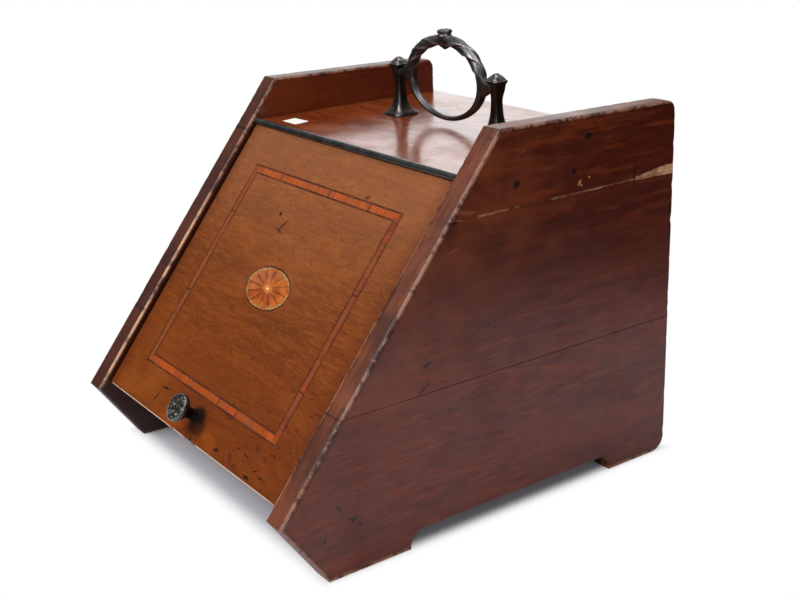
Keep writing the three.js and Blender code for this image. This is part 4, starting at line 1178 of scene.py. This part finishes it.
@dataclass
class Flap:
    """The inlaid flap, its hinge and its knob."""

    knob_place: float = 31.3
    knob_radius: float = 12.3
    knob_rise: float = 21.4
    recess: float = 5.5
    gap: float = 0.3

    def on_slope(self, surface: Surface, along: float, out: float) -> Surface:
        """Returns a surface built about z, stood square on the slope at a place along it."""
        c, s = math.cos(SLOPE), math.sin(SLOPE)
        turn = np.array([[1, 0, 0], [0, c, -s], [0, s, c]])
        foot = np.array([0.0, along * c - out * s, NOSE_HEIGHT + along * s + out * c])
        return surface.turned_by(turn).moved(foot)

    def knob(self, material: bpy.types.Material) -> bpy.types.Object:
        """Builds the knob.

        A profile is turned about its axis. In the dished face six petals rise and fall with the angle, each
        with a vein, and the rim is beaded.
        """
        r, h = self.knob_radius, self.knob_rise
        rows = [
            (0, 0), (5.2, 0), (5.3, 0.7), (5.2, 1.7), (5.0, 2.7), (4.8, 4.6), (4.8, 6.5), (5.2, 9.2),
            (6.4, h - 9.6), (9.0, h - 7.6), (10.9, h - 5.6), (r * 0.98, h - 3.9), (r, h - 2.4),
            (r * 0.985, h - 1.0), (r * 0.94, h - 0.2), (r * 0.89, h - 0.1), (r * 0.84, h - 0.9),
            (r * 0.8, h - 1.9), (r * 0.72, h - 2.0), (r * 0.6, h - 1.4), (r * 0.48, h - 1.1),
            (r * 0.36, h - 1.5), (r * 0.3, h - 2.1), (r * 0.26, h - 1.2), (r * 0.2, h - 0.4),
            (r * 0.1, h - 0.05), (0, h),
        ]
        made = lathe(eased(rows, 4), 128)
        x, y, z = made.points.T
        radius, angle = np.hypot(x, y), np.arctan2(y, x)
        face = smoothstep(z, h - 3.0, h - 2.2)
        petals = bell(radius, r * 0.55, r * 0.21) * (np.abs(np.cos(3 * angle)) ** 0.6 - 0.6) * 1.9
        veins = bell(radius, r * 0.55, r * 0.17) * -0.5 * bell(np.abs(np.sin(3 * angle)), 0.0, 0.14)
        beads = bell(radius, r * 0.915, r * 0.05) * 0.22 * np.cos(22 * angle)
        lumps = 0.26 * np.sin(1.9 * x + 2.1) * np.sin(2.1 * y - 0.7) * (radius < r * 0.85)
        lift = face * (petals + veins + beads + lumps) * (radius < r * 0.97)
        crest = face * np.clip(0.08 + lift * 0.55, 0, 0.5) + face * bell(radius, r * 0.93, r * 0.05) * 0.8
        crest = np.maximum(crest, bell(z, h - 2.4, 1.0) * 0.35)
        shaped = Surface(np.stack([x, y, z + lift], -1), made.faces, {"crest": np.clip(crest, 0, 1)})
        standing = self.on_slope(shaped, self.knob_place, -self.recess + self.gap)
        return make_piece("rosette_knob", standing, material, "flap", ["knob"], 60.0)

    def build(self) -> int:
        """Builds and dresses the flap; returns how many pieces it dressed."""
        panel = FlapMahogany(
            "mahogany_flap", srgb(94, 43, 10), srgb(119, 59, 15), srgb(138, 76, 26), Plane.TOP,
            -self.recess, 12.0, roughness=0.5, coat=0.03, coat_roughness=0.2, worn=1.3, specular=0.1,
            blemishes=blemished(
                # The first oval and the fourth, round the knob's foot, are painted shadow; the amber ones are
                # the wood's own tone.
                (6.0, 27.0, 20.0, 13.0, -20, Shade.SOOT_AND_SHADOW), (34.0, 20.0, 20.0, 9.0, -12, Shade.AMBER),
                (-30.0, 16.0, 26.0, 6.0, 4, Shade.AMBER), (3.5, 32.0, 13.0, 10.0, 20, Shade.PAINTED_SHADOW),
                (8.0, 12.5, 4.0, 2.2, 60), (48.7, 18.6, 5.0, 1.8, 10), (101.4, 15.2, 6.0, 1.8, 0),
                (-38.0, 214.0, 3.0, 2.4), (-26.0, 206.0, 9.0, 1.2, 60), (-28.0, 200.0, 7.0, 1.0, -10),
                (62.0, 252.0, 4.0, 2.4, 10, Shade.SOOT_AND_SHADOW), (-62.0, 36.0, 9.0, 1.3, 8),
                (-70.0, 25.0, 8.0, 1.2, 70),
            ),
        )
        bandings = {
            "bottom": Banding("banding_low", srgb(152, 66, 10), True, (-50.9, 18.8, 48.5), 0.3),
            "top": Banding("banding_high", srgb(152, 72, 26), True, (-66.0, 12.0, 71.0), 0.4),
            "right": Banding("banding_end", srgb(116, 48, 13), False, (92.0, 176.0), 0.6),
            "left": Banding("banding_faded", srgb(122, 60, 22), False, (120.0, 201.0), 0.8),
        }
        leaves = CastBronze("hinge_metal", srgb(34, 34, 33), srgb(128, 132, 132), 0.3, False)
        strings = ("stringing_outer", "stringing_inner", "patera_border")
        screws = [f"hinge_{leaf}_screw_{i}" for leaf in ("flap", "top") for i in range(1, 5)]
        count = dress(panel.material(), "flap_panel")
        count += sum(dress(banding.material(), f"banding_{side}") for side, banding in bandings.items())
        count += dress(DyedString("dyed_stringing").material(), *strings)
        count += dress(Patera("shaded_petals").material(), "patera_fan")
        count += dress(Patera("pale_tips", True).material(), "patera_tips")
        count += dress(leaves.material(), "hinge_flap_leaf", "hinge_top_leaf")
        count += dress(DullSteel("dull_steel").material(), "hinge_pin", "knob_bolt", *screws)
        self.knob(CastBronze("knob_metal", srgb(30, 27, 23), srgb(150, 150, 148)).material())
        return count + 1


# ---- The handle ----


@dataclass
class Handle:
    """The swinging ring and the two posts that carry it."""

    shift: float = -6.0
    setback: float = 294.5
    base: float = TOP_BOARD
    rise: float = 40.5
    half_span: float = 70.0
    half_width: float = 50.7
    half_height: float = 34.0
    grip: float = 4.7
    bow: float = 2.4
    bow_depth: float = 3.5
    leaves: int = 3
    twist: float = 14.0
    eye: float = 4.1
    gap: float = 0.3
    ring_points: tuple[int, int] = (400, 56)

    def pivot(self) -> Array:
        """Returns the middle of the ring's axis."""
        return np.array([self.shift, self.setback, self.base + self.rise])

    def ring_tube(self) -> Surface:
        """Returns the ring's tube.

        An oval centre line, x = a cos u and z = b sin u, carries a tube whose radius grows from the thin bow
        below to the full grip above. The upper arc is carved with leaves: the phase
        leaves * v + twist * (u - top) rises slowly along t ** 0.7 and drops at once, so that each leaf
        overlaps the next, and the leaves turn away from the boss on both sides. They fade into a smooth
        spine on the outside.
        """
        u, v = (np.linspace(0, 2 * np.pi, count, endpoint=False) for count in self.ring_points)
        u, v = np.meshgrid(u, v, indexing="ij")
        rise = np.sin(u)
        from_top = np.abs(np.angle(np.exp(1j * (u - np.pi / 2))))
        normal = np.stack([np.cos(u) / self.half_width, np.sin(u) / self.half_height], -1)
        normal /= np.linalg.norm(normal, axis=-1, keepdims=True)
        full = smoothstep(rise, -1.0, 0.1)
        radial = self.bow + (self.grip - self.bow) * full
        deep = self.bow_depth + (self.grip - self.bow_depth) * full
        t = np.mod(self.leaves * v + self.twist * from_top + 1.9, 2 * np.pi) / (2 * np.pi)
        leaf = t**0.7 * (1 - smoothstep(t, 0.84, 1.0))
        spine = np.exp(-((np.angle(np.exp(1j * (v - 0.35))) / 0.75) ** 2))
        carved = smoothstep(rise, 0.05, 0.4) * (1 - 0.85 * bell(from_top, 0.0, 0.1)) * (1 - 0.8 * spine)
        lumps = 0.04 * np.sin(9 * u + 1.0) * np.cos(2 * v) * full
        swell = 1 + 0.42 * carved * (leaf - 0.42) + lumps + 0.05 * spine * smoothstep(rise, 0.05, 0.4)
        outward = radial * swell * np.cos(v)
        x = self.half_width * np.cos(u) + outward * normal[..., 0]
        z = self.half_height * np.sin(u) + outward * normal[..., 1]
        y = -deep * swell * np.sin(v)
        crest = carved * smoothstep(leaf, 0.55, 0.85) * 0.9 + 0.12 + spine * smoothstep(rise, 0.1, 0.5) * 0.35
        inner = bell(v, np.pi, 0.7) * smoothstep(-rise, 0.2, 0.7) * 0.7
        points = np.stack([x, y, z], -1).reshape(-1, 3)
        marks = {"crest": np.clip(crest + inner, 0, 1).reshape(-1)}
        return Surface(points, lattice(*u.shape, True, True), marks)

    def lug(self, side: int) -> Surface:
        """Returns the web between the ring and a post: an oval section that shrinks outwards."""
        end = self.half_span - self.eye - self.gap
        rows = eased([
            (46.5, 0.0, 0.0), (46.6, 6.0, 2.6), (49.0, 9.6, 3.9), (52.0, 9.6, 4.3), (55.5, 8.2, 4.2),
            (59.0, 6.5, 3.9), (62.3, 5.1, 3.7), (end - 0.25, 4.3, 3.6), (end, 4.0, 3.3), (end, 0.0, 0.0),
        ], 5)
        angle = np.linspace(0, 2 * np.pi, 40, endpoint=False)
        reach, high, deep = (rows[:, i : i + 1] for i in range(3))
        x = side * np.minimum(reach, end) * np.ones_like(angle)
        z = np.maximum(high, 0) * np.sin(angle) - 1.0 * bell(reach, 50, 6)
        y = np.maximum(deep, 0) * np.cos(angle)
        crest = np.broadcast_to(0.1 + 0.5 * bell(reach, end - 0.6, 0.8), x.shape)
        points = np.stack([x, y, z], -1).reshape(-1, 3)
        return Surface(points, lattice(len(rows), len(angle), False, True), {"crest": crest.reshape(-1)})

    def boss(self) -> Surface:
        """Returns the boss: a squat button whose rim is cut into six knuckles round a raised centre."""
        rows = eased([
            (0, 0), (6.2, 0), (6.2, 1.4), (5.6, 2.3), (5.6, 3.0), (6.0, 3.9), (5.9, 5.0), (5.2, 6.0),
            (4.1, 6.3), (3.2, 5.9), (2.5, 6.2), (1.4, 6.9), (0, 7.0),
        ], 4)
        made = lathe(
            rows, 72, lambda angle, row: 1 + 0.11 * np.cos(6 * angle + 0.5) * smoothstep(row, 10, 18)
        )
        height = made.points[:, 2]
        radius = np.hypot(made.points[:, 0], made.points[:, 1])
        crest = bell(radius, 0, 1.9) * smoothstep(height, 5.8, 6.6) * 1.5 + bell(radius, 5.6, 0.8) * 0.35
        seated = Surface(made.points, made.faces, {"crest": np.clip(crest, 0, 1)})
        return seated.moved((0, 0, self.half_height + self.grip * 0.63))

    def pendant(self) -> Surface:
        """Returns the leaf tip under the boss: an oval ball, drawn to a point below by 1 - 0.62 z ** 2."""
        turn = np.linspace(0, np.pi, 25)
        made = lathe(np.stack([np.sin(turn), -np.cos(turn)], -1), 40)
        x, y, z = made.points.T
        pinch = np.where(z < 0, 1 - 0.62 * z**2, 1.0)
        points = np.stack([x * 10.0 * pinch, y * 4.5 * pinch, z * np.where(z < 0, 6.2, 4.0)], -1)
        crest = np.clip(0.1 + 0.4 * np.abs(np.cos(4 * x)) * (z > -0.4), 0, 1)
        return Surface(points, made.faces, {"crest": crest}).moved((0, 0, self.half_height - 2.0))

    def post(self, side: int) -> Surface:
        """Returns a post: a profile drawn out to four ridges, under a cap with a hammered dome.

        A row holds half width, height and stretch, and a point's radius is the half width times
        1 + (stretch - 1) * |sin 2a| ** 3. The neck swells below the cap, apart from where the ring's lug
        turns. The cap's facets are a product of sines.
        """
        rows = eased([
            (0, 0, 1.34), (11.5, 0, 1.34), (11.85, 0.5, 1.34), (11.95, 1.5, 1.34), (11.2, 2.5, 1.34),
            (9.8, 3.3, 1.35), (8.2, 4.9, 1.37), (6.8, 7.2, 1.38), (5.7, 10.2, 1.38), (4.9, 14.0, 1.38),
            (4.2, 18.5, 1.38), (3.8, 24, 1.38), (3.6, 29, 1.38), (3.7, 34, 1.38), (3.9, 38.2, 1.42),
            (4.1, 43.2, 1.44), (4.8, 44.4, 1.42), (5.9, 45.2, 1.4), (6.8, 45.8, 1.36), (7.0, 46.6, 1.35),
            (6.8, 47.5, 1.34), (6.2, 48.0, 1.32), (5.4, 49.6, 1.25), (4.1, 51.4, 1.16), (2.2, 52.9, 1.06),
            (0, 53.4, 1),
        ], 4)
        stretch = rows[:, 2:3]
        made = lathe(rows[:, :2], 96, lambda angle, row: 1 + (stretch - 1) * np.abs(np.sin(2 * angle)) ** 3)
        x, y, z = made.points.T
        angle = np.arctan2(y, x)
        cap = smoothstep(z, 47.8, 48.8) * (1 - smoothstep(z, 52.6, 53.4))
        facet = cap * 0.05 * np.sin(5 * angle + 0.6 * z) * np.sin(0.75 * z + 0.9 * np.sin(3 * angle))
        foot = smoothstep(z, 5.0, 1.5) * 0.025 * np.sin(7 * angle + 0.8)
        from_ring = np.abs(np.angle(np.exp(1j * (angle - (0 if side < 0 else np.pi)))))
        flare = 0.3 * smoothstep(z, 30, 43) * smoothstep(z, 45.8, 43.4) * smoothstep(from_ring, 0.9, 1.5)
        squeeze = 1 + facet + foot + flare
        ridge = np.abs(np.sin(2 * angle)) ** 8
        crest = ridge * smoothstep(z, 30, 4) * 0.55 + bell(z, 47.4, 0.5) * 0.5
        crest = crest + cap * np.clip(0.4 + facet * 12, 0, 1)
        points = np.stack([x * squeeze, y * squeeze, z], -1)
        body = Surface(points, made.faces, {"crest": np.clip(crest, 0, 1)})
        stud = lathe(np.array([(0, -22.5), (2.7, -22.5), (3.0, -22.2), (3.0, 0.5), (0, 0.5)]), 32)
        stud.marks["crest"] = np.zeros(len(stud.points))
        return body.joined(stud)

    def build(self) -> int:
        """Builds and dresses the handle; returns how many pieces it dressed."""
        metal = CastBronze("handle_metal").material()
        ring = self.ring_tube()
        for part in (self.lug(-1), self.lug(1), self.boss(), self.pendant()):
            ring = ring.joined(part)
        make_piece("ring_casting", ring.moved(self.pivot()), metal, "ring", ["ring_handle"])
        steel = DullSteel("post_steel").material()
        count = 1
        for name, side in (("left", -1), ("right", 1)):
            stand = self.post(side).moved((self.shift + side * self.half_span, self.setback, self.base))
            node = f"handle_post_{name}"
            make_piece(f"flared_post_{name}", stand, metal, "case", [node])
            count += 1 + dress(steel, f"post_washer_{name}", f"post_nut_{name}", f"pivot_pin_{name}")
        return count


# ---- The liner ----


@dataclass
class Liner:
    """The loose tin liner with its grip."""

    def build(self) -> int:
        """Dresses the liner; returns how many pieces it dressed."""
        count = dress(JapannedSheet("japanned_sheet").material(), "liner_body", "liner_grip")
        return count + dress(DullSteel("rivet_steel").material(), "liner_rivet_left", "liner_rivet_right")


# ---- The studio ----


@dataclass
class Studio:
    """White floor, soft light and the photograph's camera."""

    camera_place: tuple[float, float, float] = (0.86548, -0.56227, 0.50379)
    azimuth_deg: float = 55.3154
    elevation_deg: float = 19.5043
    roll_deg: float = -2.2029
    focal_px: float = 1240.74
    image_px: float = 800.0
    sensor_mm: float = 36.0
    floor_white: Colour = (0.78, 0.79, 0.85)
    floor_reach: float = 12.0
    footprint: tuple[float, float, float] = (0.169, 0.192, 0.154)
    shadow_edge: tuple[float, float] = (-0.008, 0.014)
    mirrored: tuple[float, float] = (0.52, 0.84)
    ambient: float = 0.3
    lamps: tuple[tuple[str, tuple[float, float, float], float, float], ...] = (
        ("key", (-0.3, -1.6, 1.8), 1.4, 40.0),
        ("overhead", (0.3, 0.2, 2.2), 1.5, 26.0),
        ("backdrop", (-1.75, 1.25, 0.8), 1.3, 8.5),
        ("fill", (1.9, -1.0, 0.6), 1.0, 9.0),
    )

    def camera(self) -> None:
        """Makes the camera: it looks back along its azimuth and elevation, rolled about its own axis."""
        a, e, r = (math.radians(d) for d in (self.azimuth_deg, self.elevation_deg, self.roll_deg))
        back = Vector((math.sin(a) * math.cos(e), -math.cos(a) * math.cos(e), math.sin(e)))
        right = Vector((0, 0, 1)).cross(back).normalized()
        up = back.cross(right)
        level = math.cos(r) * right + math.sin(r) * up
        upright = -math.sin(r) * right + math.cos(r) * up
        turn = Matrix((level, upright, back)).transposed().to_4x4()
        data = bpy.data.cameras.new("photo_camera")
        data.sensor_width = self.sensor_mm
        data.lens = self.focal_px / self.image_px * self.sensor_mm
        data.clip_start, data.clip_end = 0.01, 50.0
        lens = bpy.data.objects.new("photo_camera", data)
        lens.matrix_world = Matrix.Translation(self.camera_place) @ turn
        bpy.context.scene.collection.objects.link(lens)
        bpy.context.scene.camera = lens

    def lamp(self, name: str, place: Sequence[float], size: float, watts: float) -> None:
        """Makes one square soft lamp that faces the object."""
        data = bpy.data.lights.new(name, "AREA")
        data.size = size
        data.energy = watts
        lamp = bpy.data.objects.new(name, data)
        lamp.location = place
        lamp.rotation_mode = "QUATERNION"
        lamp.rotation_quaternion = (Vector((0, 0, 0.15)) - Vector(place)).to_track_quat("-Z", "Y")
        bpy.context.scene.collection.objects.link(lamp)

    def floor(self) -> None:
        """Makes the white floor, which keeps the object's shadow.

        Past the object's footprint, which is a half width and a reach to the back and to the front, the
        camera sees it as plain white. Far off it is dark in the object's reflections.
        """
        mesh = bpy.data.meshes.new("floor")
        reach = self.floor_reach
        corners = [(-reach, -reach, 0), (reach, -reach, 0), (reach, reach, 0), (-reach, reach, 0)]
        mesh.from_pydata(corners, [], [(0, 1, 2, 3)])
        graph = Graph("white_floor")
        lit = graph.node("BsdfDiffuse", None, {"Color": self.floor_white})
        unlit = graph.node("BsdfDiffuse", None, {"Color": (0.015, 0.015, 0.015)})
        glow = graph.node("Emission", None, {"Color": EVEN, "Strength": 1.0})
        path = graph.node("LightPath")
        length = graph.node("VectorMath", {"operation": "LENGTH"}, {0: graph.own()})
        dim = graph.out(path, "Is Glossy Ray") * graph.step(graph.out(length, "Value"), *self.mirrored)
        sheet = graph.node("MixShader", None, {0: dim, 1: graph.out(lit), 2: graph.out(unlit)})
        across, deep, _ = graph.parts(graph.own())
        beside, behind, before = self.footprint
        clear = graph.greatest(graph.greatest(across.size() - beside, deep - behind), deep * -1.0 - before)
        seen = graph.out(path, "Is Camera Ray") * graph.step(clear, *self.shadow_edge)
        mixed = graph.node("MixShader", None, {0: seen, 1: graph.out(sheet), 2: graph.out(glow)})
        graph.node("OutputMaterial", None, {"Surface": graph.out(mixed)})
        mesh.materials.append(graph.owner)
        floor = bpy.data.objects.new("floor", mesh)
        bpy.context.scene.collection.objects.link(floor)

    def world(self) -> None:
        """Makes the world: white behind the object, and elsewhere a dim room."""
        graph = Graph("studio", "worlds")
        bpy.context.scene.world = graph.owner
        _, _, height = graph.parts(graph.out(graph.node("TexCoord"), "Generated"))
        room = graph.mix(graph.step(height, -0.1, 0.6), (0.03,) * 3, (self.ambient,) * 3)
        seen = graph.out(graph.node("LightPath"), "Is Camera Ray")
        colour = graph.mix(seen, room, (1.0,) * 3)
        background = graph.node("Background", None, {"Color": colour, "Strength": 1.0})
        graph.node("OutputWorld", None, {"Surface": graph.out(background)})

    def build(self) -> None:
        """Builds the camera, floor, world and lamps."""
        self.camera()
        self.floor()
        self.world()
        for row in self.lamps:
            self.lamp(*row)
        bpy.context.scene.view_settings.view_transform = "Standard"


def main() -> None:
    """Builds the object piece by piece, then the studio."""
    logging.basicConfig(level=logging.INFO, format="%(message)s")
    Studio().build()
    for part in (Case(), Flap(), Handle(), Liner()):
        LOG.info("%s: %d pieces dressed", type(part).__name__, part.build())


if __name__ == "__main__":
    main()
